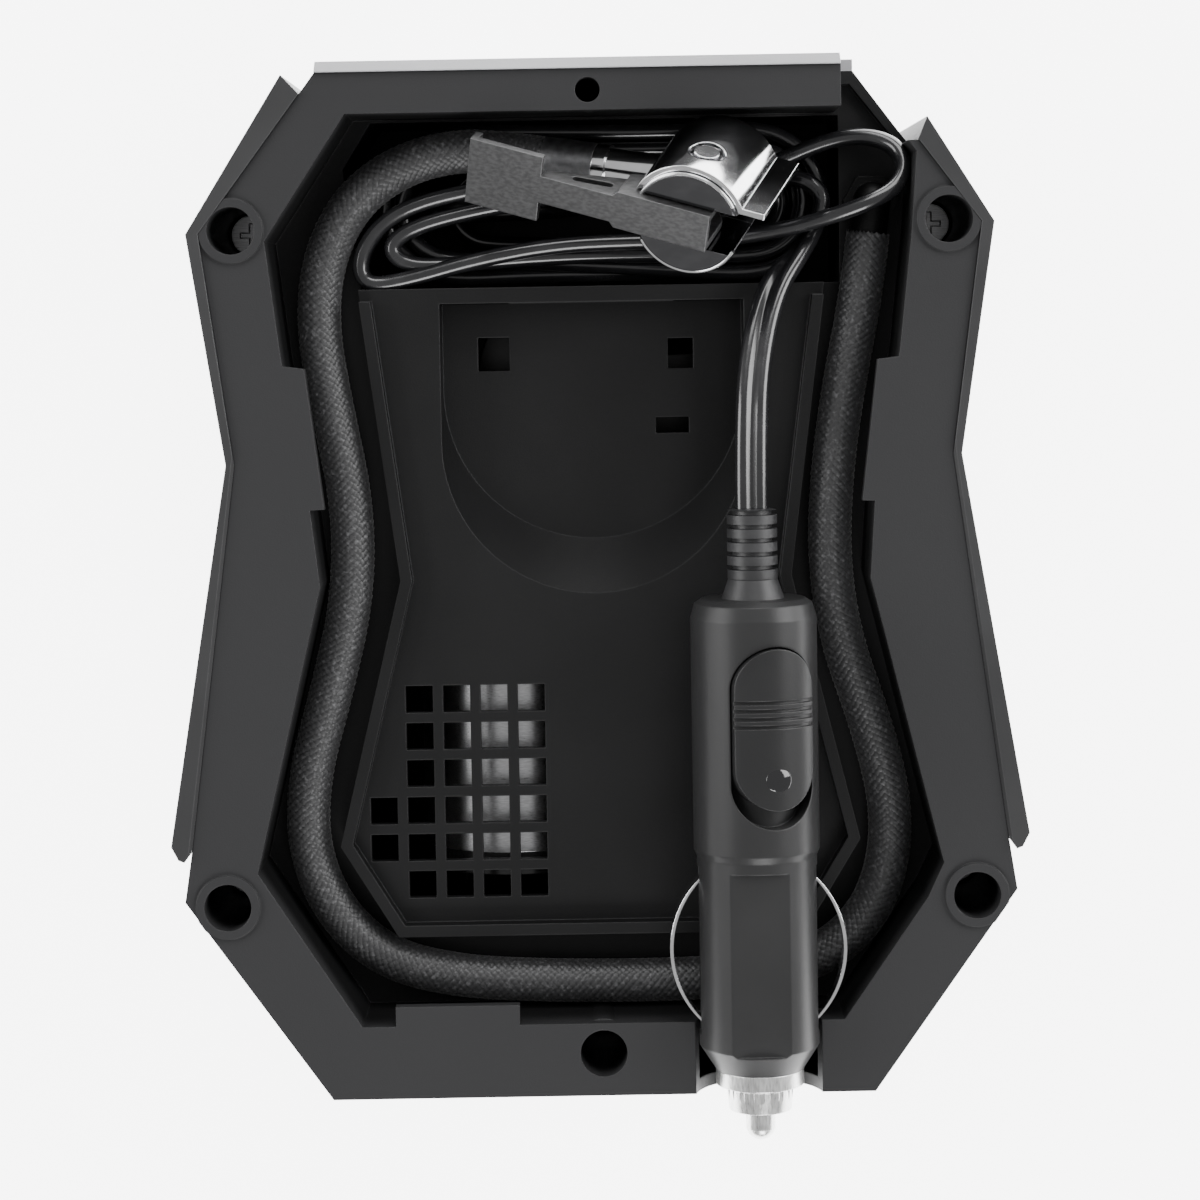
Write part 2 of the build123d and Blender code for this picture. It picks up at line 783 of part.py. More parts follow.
rotor_radius = magnet_inner - air_gap
with BuildPart() as motor_rotor:
    add(ring(rotor_radius, shaft_radius,
             (motor_x, motor_back_y + 11.0, motor_z), (motor_x, motor_front_y - 6.5, motor_z)))
    with BuildSketch(Plane(origin=(motor_x, motor_back_y + 10.0, motor_z), z_dir=(0, 1, 0))):
        with PolarLocations(rotor_radius - 1.5, 5):
            Rectangle(5.0, 1.6)
    extrude(amount=motor_length, mode=Mode.SUBTRACT)
    add(ring(4.2, shaft_radius,
             (motor_x, motor_back_y + 4.6, motor_z), (motor_x, motor_back_y + 11.0, motor_z)))
write(motor_rotor.part, "motor_rotor")

with BuildPart() as motor_shaft:
    add(rod(shaft_radius, (motor_x, shaft_back_y, motor_z), (motor_x, gear_back_y, motor_z)))
write(motor_shaft.part, "motor_shaft")

write(gear_wheel(pinion_teeth, motor_x, motor_z, motor_angle + 180, gear_front_y, gear_back_y,
                 shaft_radius), "motor_pinion")

axle_radius = 3.0
with BuildPart() as drive_gear:
    add(gear_wheel(gear_teeth, crank_x, axis_height, motor_angle + 180 / gear_teeth,
                   gear_front_y, gear_back_y, axle_radius + running_fit))
    with BuildSketch(Plane(origin=(crank_x, gear_front_y - 0.1, axis_height),
                           x_dir=(1, 0, 0), z_dir=(0, 1, 0))):
        with PolarLocations(10.0, 3, start_angle=60):
            Circle(2.6)
    extrude(amount=gear_width + 1.0, mode=Mode.SUBTRACT)
write(drive_gear.part, "drive_gear")

pin_x = crank_x + crank_radius
with BuildPart() as crank_pin:
    add(rod(crank_pin_radius, (pin_x, gear_back_y, axis_height),
            (pin_x, rod_front_y - crank_pin_gap, axis_height)))
write(crank_pin.part, "crank_pin")

with BuildPart() as gear_axle:
    add(rod(axle_radius, (crank_x, frame_back_y, axis_height), (crank_x, gear_back_y, axis_height)))
    add(rod(2.0, (crank_x, frame_front_y, axis_height), (crank_x, frame_back_y, axis_height)))
write(gear_axle.part, "gear_axle")

base_bottom = post_top
base_top = base_bottom + 2.0
with BuildPart() as gear_frame:
    with BuildSketch(Plane(origin=(0, frame_front_y, 0), x_dir=(1, 0, 0), z_dir=(0, -1, 0))):
        with BuildLine():
            Polyline(
                (motor_x - 14.0, base_bottom), (seat_back_x, base_bottom),
                (seat_back_x, axis_height + 14.0), (motor_x + 16.0, motor_z + 8.0),
                (motor_x + 7.0, motor_z + 14.5), (motor_x - 7.0, motor_z + 14.5),
                (motor_x - 14.0, motor_z + 7.0),
                close=True,
            )
        make_face()
    extrude(amount=-frame_sheet)
    add(block(seat_front_x, seat_back_x, frame_front_y, piston_y + 13.5,
              axis_height - 13.5, axis_height + 13.5))
    add(block(motor_x - 14.0, seat_back_x, frame_front_y - 24.0, frame_back_y,
              base_bottom, base_top))
    add(rod(bore_radius + 1.0, (seat_front_x - 1.0, piston_y, axis_height),
            (seat_back_x + 1.0, piston_y, axis_height)), mode=Mode.SUBTRACT)
    add(rod(2.0 + running_fit, (crank_x, frame_front_y - 1.0, axis_height),
            (crank_x, frame_back_y + 1.0, axis_height)), mode=Mode.SUBTRACT)
    add(rod(6.5, (motor_x, frame_front_y - 1.0, motor_z), (motor_x, frame_back_y + 1.0, motor_z)),
        mode=Mode.SUBTRACT)
    for y, z in bolt_places:
        add(rod(bolt_radius + running_fit, (seat_front_x - 1.0, y, z), (seat_back_x + 1.0, y, z)),
            mode=Mode.SUBTRACT)
    for x, y in frame_posts:
        add(rod(1.6, (x, y, base_bottom - 1.0), (x, y, base_top + 1.0)), mode=Mode.SUBTRACT)
write(gear_frame.part, "gear_frame")

with BuildPart() as frame_screws:
    for x, y in frame_posts:
        add(rod(2.8, (x, y, base_top), (x, y, base_top + 1.8)))
        add(rod(1.4, (x, y, post_top), (x, y, base_top)))
write(frame_screws.part, "frame_screws")

# ---- compressor: crank, piston, cylinder and valve ---------------------------------------------------------
with BuildPart() as connecting_rod:
    with BuildSketch(Plane(origin=(0, rod_front_y, axis_height), x_dir=(1, 0, 0), z_dir=(0, -1, 0))):
        with Locations((pin_x, 0)):
            Circle(rod_eye_radius)
        with Locations((wrist_x, 0)):
            Circle(rod_eye_radius - 1.0)
        with Locations(((pin_x + wrist_x) / 2, 0)):
            Rectangle(rod_length, 5.0)
        with Locations((pin_x, 0)):
            Circle(crank_pin_radius + running_fit, mode=Mode.SUBTRACT)
        with Locations((wrist_x, 0)):
            Circle(wrist_pin_radius + running_fit, mode=Mode.SUBTRACT)
    extrude(amount=-rod_width)
write(connecting_rod.part, "connecting_rod")

ring_groove = 1.0
ring_width = 1.4
ring_x = crown_x - 2.4
with BuildPart() as piston:
    add(rod(bore_radius - piston_clearance, (piston_foot_x, piston_y, axis_height),
            (crown_x, piston_y, axis_height)))
    add(block(piston_foot_x - 1.0, wrist_x + rod_eye_radius - 1.0 + fit,
              rod_front_y - fit, rod_back_y + fit, axis_height - 7.6, axis_height + 7.6),
        mode=Mode.SUBTRACT)
    add(rod(wrist_pin_radius, (wrist_x, piston_y - bore_radius, axis_height),
            (wrist_x, piston_y + bore_radius, axis_height)), mode=Mode.SUBTRACT)
    add(ring(bore_radius + 1.0, bore_radius - ring_groove - 0.05, (ring_x, piston_y, axis_height),
             (ring_x + ring_width, piston_y, axis_height)), mode=Mode.SUBTRACT)
write(piston.part, "piston")

with BuildPart() as piston_ring:
    add(ring(bore_radius - 0.02, bore_radius - ring_groove, (ring_x + 0.05, piston_y, axis_height),
             (ring_x + ring_width - 0.05, piston_y, axis_height)))
write(piston_ring.part, "piston_ring")

with BuildPart() as wrist_pin:
    add(rod(wrist_pin_radius, (wrist_x, piston_y - bore_radius + 1.2, axis_height),
            (wrist_x, piston_y + bore_radius - 1.2, axis_height)))
write(wrist_pin.part, "wrist_pin")

with BuildPart() as cylinder:
    add(rod(cylinder_radius, (cylinder_start_x, piston_y, axis_height),
            (cylinder_end_x, piston_y, axis_height)))
    for k in range(4):
        fin_x = cylinder_start_x + 4.0 + 5.0 * k
        add(rod(cylinder_radius + 0.9, (fin_x, piston_y, axis_height),
                (fin_x + 2.0, piston_y, axis_height)))
    add(rod(bore_radius, (cylinder_start_x - 1.0, piston_y, axis_height),
            (cylinder_end_x + 1.0, piston_y, axis_height)), mode=Mode.SUBTRACT)
write(cylinder.part, "cylinder")

chamber_radius = 5.0
chamber_start_x = cylinder_end_x + 1.6
port_y = piston_y + 13.0
with BuildPart() as cylinder_head:
    add(block(cylinder_end_x, head_end_x, piston_y - 13.0, port_y,
              axis_height - 13.0, axis_height + 13.0))
    add(rod(chamber_radius, (chamber_start_x, piston_y, axis_height),
            (head_end_x - 1.6, piston_y, axis_height)), mode=Mode.SUBTRACT)
    add(rod(1.6, (cylinder_end_x - 1.0, piston_y, axis_height),
            (chamber_start_x + 1.0, piston_y, axis_height)), mode=Mode.SUBTRACT)
    port_x = (chamber_start_x + head_end_x - 1.6) / 2
    add(rod(1.4, (port_x, piston_y, axis_height), (port_x, port_y + 1.0, axis_height)),
        mode=Mode.SUBTRACT)
    for y, z in bolt_places:
        add(rod(bolt_radius + running_fit, (cylinder_end_x - 1.0, y, z), (head_end_x + 1.0, y, z)),
            mode=Mode.SUBTRACT)
write(cylinder_head.part, "cylinder_head")

with BuildPart() as head_screws:
    for y, z in bolt_places:
        add(rod(bolt_radius, (seat_front_x, y, z), (head_end_x, y, z)))
        add(rod(2.6, (head_end_x, y, z), (head_end_x + 1.6, y, z)))
write(head_screws.part, "head_screws")

with BuildPart() as outlet_valve:
    add(rod(2.6, (chamber_start_x, piston_y, axis_height),
            (chamber_start_x + 0.8, piston_y, axis_height)))
write(outlet_valve.part, "outlet_valve")

with BuildPart() as valve_spring:
    spring_length = head_end_x - 1.6 - chamber_start_x - 0.8
    with BuildLine() as valve_coil:
        Helix(spring_length / 4, spring_length - 0.5, 1.9,
              center=(chamber_start_x + 1.05, piston_y, axis_height), direction=(1, 0, 0))
    with BuildSketch(Plane(origin=valve_coil.line @ 0, z_dir=valve_coil.line % 0)):
        Circle(0.22)
    sweep()
write(valve_spring.part, "valve_spring")

# ---- air lines inside the housing ---------------------------------------------------------------------------
elbow_bottom = channel_z - 4.0
with BuildPart() as outlet_tube:
    with BuildLine() as outlet_path:
        FilletPolyline(
            (port_x, port_y, axis_height), (port_x, elbow_y - 14.0, axis_height),
            (elbow_x, elbow_y, axis_height + 3.0), (elbow_x, elbow_y, elbow_bottom),
            radius=5.0,
        )
    with BuildSketch(Plane(origin=outlet_path.line @ 0, z_dir=outlet_path.line % 0)):
        Circle(pipe_radius)
    sweep()
write(outlet_tube.part, "outlet_tube")

gauge_tube_radius = 1.4
gauge_port = (0.0, gauge_y + 6.0)
with BuildPart() as gauge_tube:
    with BuildLine() as gauge_path:
        FilletPolyline(
            (*gauge_port, gauge_floor), (*gauge_port, axis_height + 2.0),
            (port_x - 14.0, gauge_port[1] + 2.0, axis_height + 2.0),
            (port_x - pipe_radius - 0.3, gauge_port[1] + 4.0, axis_height),
            radius=3.0,
        )
    with BuildSketch(Plane(origin=gauge_path.line @ 0, z_dir=gauge_path.line % 0)):
        Circle(gauge_tube_radius)
    sweep()
write(gauge_tube.part, "gauge_tube")

hose_z = channel_z + hose_radius + 0.05
hose_start = (48.2, 58.2, hose_z)
with BuildPart() as hose_elbow:
    add(rod(3.2, (elbow_x, elbow_y, elbow_bottom), (elbow_x, elbow_y, hose_z)))
    with Locations((elbow_x, elbow_y, hose_z)):
        Sphere(3.2)
    add(rod(3.2, (elbow_x, elbow_y, hose_z), hose_start))
    with BuildSketch(Plane.XY.offset(channel_z + 0.05)):
        with Locations((elbow_x, elbow_y)):
            RegularPolygon(4.9, 6)
    extrude(amount=2.2)
write(hose_elbow.part, "hose_elbow")

# ---- hose: the whole length, laid once round the channel ------------------------------------------------------


def corner_radii(points):
    """The arc radius at each inner point of a route, as large as its two runs allow."""
    radii = []
    for before, here, after in zip(points, points[1:], points[2:]):
        run_in = Vector(*here) - Vector(*before)
        run_out = Vector(*after) - Vector(*here)
        turn = radians(run_in.get_angle(run_out))
        radii.append(0.45 * min(run_in.length, run_out.length) / tan(turn / 2))
    return radii


def cord_tube(points, section, name):
    """Sweep a section along a route of straight runs and tangent arcs."""
    radii = corner_radii(points)
    with BuildPart() as tube:
        with BuildLine() as route:
            FilletPolyline(*points, radius=radii)
        with BuildSketch(Plane(origin=route.line @ 0, x_dir=(1, 0, 0), z_dir=route.line % 0)):
            add(section)
        sweep()
    length = route.wires()[0].length
    expected = section.area * length
    print(f"{name}: length {length:.1f}, smallest radius {min(radii):.1f}, volume "
          f"{tube.part.volume:.0f} of {expected:.0f}, radii {[round(r, 1) for r in radii]}")
    return tube.part


barrel_z = depth + barrel_above_rim
out_of_barrel = Vector(*barrel_tilt).normalized()
hinge_direction = Vector(0.1193, 0.8439, 0.0)
hinge_direction = Vector(
    hinge_direction.X, hinge_direction.Y,
    -(hinge_direction.X * out_of_barrel.X + hinge_direction.Y * out_of_barrel.Y) / out_of_barrel.Z,
).normalized()
lever_direction = out_of_barrel.cross(hinge_direction)
chuck_plane = Plane(
    origin=(barrel_x, barrel_y, barrel_z), x_dir=lever_direction, z_dir=out_of_barrel
)
stem_x = cos(radians(stem_turn))
stem_y = sin(radians(stem_turn))


def on_stem(distance):
    """A point on the hose stem, in the chuck's own frame."""
    return (distance * stem_x, distance * stem_y, -stem_depth)


hose_end = chuck_plane.from_local_coords(Vector(*on_stem(crimp_end)))
hose_bend = chuck_plane.from_local_coords(Vector(*on_stem(crimp_end + 6.5)))
hose_route = [
    hose_start,
    (46.7, 47.0, hose_z), (44.0, 34.0, hose_z), (41.6, 19.5, hose_z), (40.5, 3.0, hose_z),
    (42.4, -12.0, hose_z), (47.6, -27.0, hose_z), (51.0, -41.0, hose_z),
    (50.2, -53.0, hose_z), (45.8, -62.2, hose_z), (37.5, -68.6, hose_z),
    (25.0, -71.4, hose_z), (8.0, -71.9, hose_z), (-10.0, -71.6, hose_z),
    (-25.5, -70.6, hose_z), (-38.0, -67.2, hose_z), (-46.6, -59.2, hose_z),
    (-51.2, -48.0, hose_z), (-50.9, -35.0, hose_z), (-46.4, -19.5, hose_z),
    (-42.4, -3.0, hose_z), (-42.2, 13.0, hose_z), (-45.3, 29.0, hose_z),
    (-47.6, 43.0, hose_z), (-46.6, 55.0, hose_z), (-41.2, 65.5, hose_z),
    (-32.5, 71.6, hose_z - 0.4), (-22.5, 74.0, hose_z - 1.6), (hose_bend.X, hose_bend.Y, hose_bend.Z),
    (hose_end.X, hose_end.Y, hose_end.Z),
]
with BuildSketch(mode=Mode.PRIVATE) as hose_section:
    Circle(hose_radius)
write(cord_tube(hose_route, hose_section.sketch, "hose"), "hose")

# ---- chuck with thumb lever, in its own frame: x along the lever, z out of the near face -------------------------


def on_chuck(part):
    """Place a piece that was drawn in the chuck's own frame."""
    return chuck_plane.from_local_coords(part)


valve_bore_depth = 4.0
chamber_depth = 8.6  # narrower chamber behind the bore, for the depressor
chamber_radius = 3.5
seal_depth = 3.0
seal_radius = 6.4
with BuildPart() as chuck_body:
    add(rod(barrel_radius, (0, 0, -barrel_length), (0, 0, 0)))
    fillet(chuck_body.edges().filter_by(GeomType.CIRCLE), 0.7)
    add(block(-12.0, 12.0, -slot_half_width, slot_half_width, -slot_depth, 1.0),
        mode=Mode.SUBTRACT)
    add(rod(2.6, on_stem(6.5), on_stem(barrel_radius + 1.0)))
    add(rod(pin_radius + running_fit, (0, -12.0, -pin_depth), (0, 12.0, -pin_depth)),
        mode=Mode.SUBTRACT)
    add(rod(valve_bore_radius, (0, 0, -barrel_length - 1.0),
            (0, 0, -barrel_length + valve_bore_depth)), mode=Mode.SUBTRACT)
    add(rod(chamber_radius, (0, 0, -barrel_length), (0, 0, -barrel_length + chamber_depth)),
        mode=Mode.SUBTRACT)
    add(rod(seal_radius, (0, 0, -barrel_length - 1.0), (0, 0, -barrel_length + seal_depth)),
        mode=Mode.SUBTRACT)
write(on_chuck(chuck_body.part), "chuck_body")

saddle_inner = barrel_radius + 0.05
saddle_outer = saddle_inner + saddle_thickness
saddle_edge = slot_half_width + 0.2
with BuildPart() as chuck_saddle:
    add(ring(saddle_outer, saddle_inner, (0, 0, -barrel_length + 1.0), (0, 0, -0.8)))
    add(block(-20, 20, -saddle_edge, 20, -barrel_length, 2.0), mode=Mode.SUBTRACT)
    add(block(-saddle_outer - 2.6, -saddle_inner + 0.6, -saddle_edge - 1.0, -saddle_edge,
              -barrel_length + 1.0, -0.8))
    add(rod(3.1, (0, -15.0, -pin_depth), (0, -5.0, -pin_depth)), mode=Mode.SUBTRACT)
write(on_chuck(chuck_saddle.part), "chuck_saddle")

with BuildPart() as chuck_pin:
    add(rod(pin_radius, (0, -barrel_radius - 0.4, -pin_depth), (0, barrel_radius + 0.9, -pin_depth)))
    add(rod(pin_radius + 0.6, (0, -barrel_radius - 0.9, -pin_depth),
            (0, -barrel_radius - 0.1, -pin_depth)))
write(on_chuck(chuck_pin.part), "chuck_pin")

lever_bottom = fit
lever_top = lever_bottom + lever_sheet
lever_half = lever_width / 2
arm_start = 12.0
arm_end = 25.5
arm_half = 2.5
thumb_end = 38.5
thumb_half = 6.1
with BuildPart() as chuck_lever:
    with BuildSketch(Plane.XY.offset(lever_bottom)):
        with BuildLine():
            Polyline(
                (-4.2, -lever_half), (arm_start, -lever_half), (arm_start + 0.8, -arm_half),
                (arm_end, -arm_half), (arm_end, -thumb_half), (thumb_end, -thumb_half),
                (thumb_end, thumb_half), (arm_end, thumb_half), (arm_end, arm_half),
                (arm_start + 0.8, arm_half), (arm_start, lever_half), (-4.2, lever_half),
                close=True,
            )
        make_face()
    extrude(amount=lever_sheet)
    for side in (-1, 1):
        with BuildSketch(Plane(origin=(0, side * lever_half, 0), x_dir=(1, 0, 0),
                               z_dir=(0, -side, 0))):
            with BuildLine():
                Polyline(
                    (-4.2, side * lever_top), (arm_start, side * lever_top),
                    (arm_start, side * -5.5), (4.5, side * -9.0), (2.5, side * -11.2),
                    (-2.5, side * -11.2), (-4.2, side * -8.0),
                    close=True,
                )
            make_face()
        extrude(amount=lever_sheet)
        with BuildSketch(Plane(origin=(0, side * arm_half, 0), x_dir=(1, 0, 0),
                               z_dir=(0, -side, 0))):
            with BuildLine():
                Polyline(
                    (arm_start - 0.6, side * lever_top), (arm_end, side * lever_top),
                    (arm_end, side * -1.0), (arm_start - 0.6, side * -5.5),
                    close=True,
                )
            make_face()
            with Locations((17.2, side * -1.3)):
                SlotOverall(7.0, 1.5, rotation=side * 9.0, mode=Mode.SUBTRACT)
        extrude(amount=lever_sheet)
    add(block(thumb_end - 1.2, thumb_end, -thumb_half, thumb_half, lever_bottom - 1.6, lever_top))
    add(rod(pin_radius + running_fit, (0, -6.0, -pin_depth), (0, 6.0, -pin_depth)),
        mode=Mode.SUBTRACT)
write(on_chuck(chuck_lever.part), "chuck_lever")

with BuildPart() as valve_seal:
    add(ring(seal_radius, valve_bore_radius, (0, 0, -barrel_length), (0, 0, -barrel_length + seal_depth)))
write(on_chuck(valve_seal.part), "valve_seal")

with BuildPart() as valve_depressor:
    chamber_end = -barrel_length + chamber_depth
    add(rod(0.9, (0, 0, -barrel_length + valve_bore_depth + fit), (0, 0, chamber_end)))
    with BuildSketch(Plane.XY.offset(chamber_end - 1.0)):
        Rectangle(2 * chamber_radius - 0.1, 1.4)
        Rectangle(1.4, 2 * chamber_radius - 0.1)
    extrude(amount=1.0)
write(on_chuck(valve_depressor.part), "valve_depressor")

with BuildPart() as hose_ferrule:
    add(rod(ferrule_radius, on_stem(barrel_radius + 1.0), on_stem(ferrule_end)))
    add(rod(ferrule_radius + 0.5, on_stem(ferrule_end - 2.4), on_stem(ferrule_end)))
write(on_chuck(hose_ferrule.part), "hose_ferrule")

with BuildPart() as hose_crimp:
    add(rod(hose_radius - 0.1, on_stem(ferrule_end), on_stem(crimp_end)))
write(on_chuck(hose_crimp.part), "hose_crimp")

# ---- gland that the lead leaves the pump through, in the floor of the bay -------------------------------
with BuildPart() as cord_grommet:
    add(
        rod(
            grommet_radius, (grommet_x, grommet_y, bay_z - tub_wall - 2.5),
            (grommet_x, grommet_y, bay_z + 0.2),
        )
    )
    add(
        rod(
            grommet_radius + 1.8, (grommet_x, grommet_y, bay_z - tub_wall - 2.5),
            (grommet_x, grommet_y, bay_z - tub_wall),
        )
    )
write(cord_grommet.part, "cord_grommet")

# ---- vehicle plug: turned along Y, tip towards -Y --------------------------------------------------------------
plug_axis = Axis((plug_x, 0, plug_z), (0, 1, 0))
barrel_end_radius = 7.5
nut_y = plug_barrel_end_y - 4.2
tip_end_y = nut_y - 12.5
slider_roll = 17.0  # the switch is rolled this far round the plug
slider_length = 27.0
slider_width = 13.8
slider_travel = 3.0
slider_top_y = plug_top_y - 7.6
nut_length = 7.0


def turned(profile):
    """A piece turned about the plug's axis from (radius, y) points."""
    with BuildPart() as piece:
        with BuildSketch(Plane.XY.offset(plug_z)):
            with BuildLine():
                Polyline(*[(plug_x + r, y) for r, y in profile], close=True)
            make_face()
        revolve(axis=plug_axis)
    return piece.part


def along_plug(radius, start_y, end_y):
    """A round bar on the plug's axis."""
    return rod(radius, (plug_x, start_y, plug_z), (plug_x, end_y, plug_z))


roll = radians(slider_roll)
slider_normal = Vector(sin(roll), 0, cos(roll))


def stadium(length, width, top_y):
    """A rounded bar that stands out of the plug in the slider's direction."""
    middle = top_y - length / 2
    base = Plane(origin=(plug_x, middle, plug_z), x_dir=(0, 1, 0), z_dir=slider_normal)
    with BuildPart() as bar:
        with BuildSketch(base):
            SlotOverall(length, width)
        extrude(amount=plug_radius + 3.0)
    return bar.part


pocket_floor = plug_radius - 2.9
with BuildPart() as slider_pocket:
    add(stadium(slider_length + slider_travel + 2 * fit, slider_width + 2 * fit,
                slider_top_y + fit))
    add(along_plug(pocket_floor, plug_top_y, plug_barrel_end_y), mode=Mode.SUBTRACT)

fuse_radius = 3.1
with BuildPart() as plug_body:
    add(turned([
        (0, plug_top_y), (8.8, plug_top_y), (10.0, plug_top_y - 0.8),
        (plug_radius, plug_top_y - 3.2), (plug_radius, plug_barrel_y),
        (plug_radius - 0.5, plug_barrel_y - 1.2), (plug_radius - 0.5, plug_barrel_end_y),
        (barrel_end_radius, nut_y), (0, nut_y),
    ]))
    add(slider_pocket.part, mode=Mode.SUBTRACT)
    # flat facets on the barrel
    for side in (-1, 1):
        z_cut = plug_z + side * 8.9
        add(block(plug_x - 12, plug_x + 12, plug_barrel_end_y - 0.5, plug_barrel_y - 3.0,
                  min(z_cut, z_cut + side * 4), max(z_cut, z_cut + side * 4)),
            mode=Mode.SUBTRACT)
    # side windows for the contact springs
    for side in (-1, 1):
        add(block(plug_x + side * 10 - 2.6, plug_x + side * 10 + 2.6,
                  plug_barrel_end_y + 2.0, plug_barrel_y - 2.8, plug_z - 2.4, plug_z + 2.4),
            mode=Mode.SUBTRACT)
    # fuse chamber
    add(along_plug(fuse_radius + 0.8, nut_y - 1.0, plug_barrel_y + 4.0), mode=Mode.SUBTRACT)
write(plug_body.part, "plug_body")

with BuildPart() as plug_slider:
    add(stadium(slider_length, slider_width, slider_top_y))
    add(along_plug(pocket_floor + fit, plug_top_y, plug_barrel_end_y), mode=Mode.SUBTRACT)
    with BuildPart(mode=Mode.PRIVATE) as outer_skin:
        add(along_plug(plug_radius + 0.9, plug_top_y, plug_barrel_end_y))
    add(outer_skin.part, mode=Mode.INTERSECT)
    for k in range(4):
        groove_y = slider_top_y - 8.6 - 1.35 * k
        add(ring(plug_radius + 3.0, plug_radius + 0.4, (plug_x, groove_y, plug_z),
                 (plug_x, groove_y - 0.6, plug_z)), mode=Mode.SUBTRACT)
write(plug_slider.part, "plug_slider")

with BuildPart() as plug_nut:
    add(turned([
        (2.6, nut_y), (barrel_end_radius, nut_y), (barrel_end_radius, nut_y - 2.6),
        (5.7, nut_y - 3.2), (5.3, nut_y - nut_length), (2.6, nut_y - nut_length),
    ]))
    with BuildSketch(Plane(origin=(plug_x, nut_y - 3.2, plug_z), z_dir=(0, -1, 0))):
        with PolarLocations(5.9, 20):
            Rectangle(0.8, 0.8)
    extrude(amount=nut_length, mode=Mode.SUBTRACT)
write(plug_nut.part, "plug_nut")

with BuildPart() as plug_tip:
    add(along_plug(2.5, nut_y + 1.2, tip_end_y + 2.0))
    with Locations((plug_x, tip_end_y + 2.5, plug_z)):
        Sphere(2.5)
    add(along_plug(3.4, nut_y + 1.9, nut_y + 0.2))
write(plug_tip.part, "plug_tip")

spring_foot = 9.4
spring_top = 15.0
spring_head_y = plug_barrel_y - 4.4
spring_tail_y = plug_barrel_end_y + 3.8
with BuildPart() as plug_springs:
    for side in (-1, 1):
        with BuildSketch(Plane.XY.offset(plug_z - 1.9)):
            with BuildLine():
                outer = ThreePointArc(
                    (plug_x + side * spring_foot, spring_head_y),
                    (plug_x + side * spring_top, (spring_head_y + spring_tail_y) / 2),
                    (plug_x + side * spring_foot, spring_tail_y),
                )
                inner = ThreePointArc(
                    (plug_x + side * (spring_foot - 0.6), spring_head_y),
                    (plug_x + side * (spring_top - 0.6), (spring_head_y + spring_tail_y) / 2),
                    (plug_x + side * (spring_foot - 0.6), spring_tail_y),
                )
                Line(outer @ 0, inner @ 0)
                Line(outer @ 1, inner @ 1)
            make_face()
        extrude(amount=3.8)
write(plug_springs.part, "plug_springs")

fuse_end_y = nut_y + 9.5
with BuildPart() as plug_fuse:
    add(along_plug(fuse_radius, plug_barrel_y + 4.0, fuse_end_y))
write(plug_fuse.part, "plug_fuse")

with BuildPart() as tip_spring:
    tip_spring_length = fuse_end_y - nut_y - 2.1
    with BuildLine() as tip_coil:
        Helix(tip_spring_length / 5, tip_spring_length - 0.6, 2.5,
              center=(plug_x, nut_y + 2.3, plug_z), direction=(0, 1, 0))
    with BuildSketch(Plane(origin=tip_coil.line @ 0, z_dir=tip_coil.line % 0)):
        Circle(0.25)
    sweep()
write(tip_spring.part, "tip_spring")

relief_length = 15.1
relief_end_y = plug_top_y + relief_length
rib_pitch = 2.3
rib_radius = 4.25
relief_profile = [(0, plug_top_y), (5.3, plug_top_y), (4.2, plug_top_y + 3.2)]
for k in range(5):
    rib_y = plug_top_y + 3.4 + rib_pitch * k
    relief_profile += [
        (rib_radius, rib_y), (rib_radius, rib_y + 1.5),
        (rib_radius - 0.9, rib_y + 1.6), (rib_radius - 0.9, rib_y + 2.2),
    ]
relief_profile += [(rib_radius - 0.1, relief_end_y - 0.2), (3.2, relief_end_y), (0, relief_end_y)]
write(turned(relief_profile), "plug_strain_relief")

# ---- power lead: a flat twin lead, and the folded hank in the bay -------------------------------------------------
lead_route = [
    (plug_x, relief_end_y, plug_z),
    (plug_x, 24.5, plug_z), (27.6, 37.5, 64.0), (30.6, 48.8, 59.0), (35.8, 55.4, 53.6),
    (38.8, 60.0, 47.4), (39.3, 61.8, 44.5),
]
with BuildSketch(mode=Mode.PRIVATE) as lead_section:
    SlotOverall(lead_width, lead_thickness)
write(cord_tube(lead_route, lead_section.sketch, "power_cord"), "power_cord")

hank_gap = 0.3
hank_top_z = channel_z - 3.5
hank_half_width = (bay_top_y - island_top_y) / 2 - 0.6
hank_left_x = bay_left_x + 2.4
hank_right_x = bay_right_x - 1.5
with BuildPart() as cord_hank:
    with BuildSketch(Plane.XY.offset(bay_z + hank_gap)):
        with Locations(((hank_left_x + hank_right_x) / 2, (island_top_y + bay_top_y) / 2)):
            SlotOverall(hank_right_x - hank_left_x, 2 * hank_half_width)
    extrude(amount=hank_top_z - bay_z - hank_gap)
write(cord_hank.part, "cord_hank")

print(len(written), "pieces")
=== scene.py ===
"""Looks of a portable tire inflator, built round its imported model.

Lengths are in metres in the model's own frame: +Z points out of the storage side, +Y towards
the top of the inflator, +X to the right when the storage side is looked at. Routes and small
sizes are written in millimetres and scaled by MM where a mesh is made.
"""

from __future__ import annotations

import logging
import math
from dataclasses import dataclass
from enum import Enum
from typing import Any, Iterable, Sequence

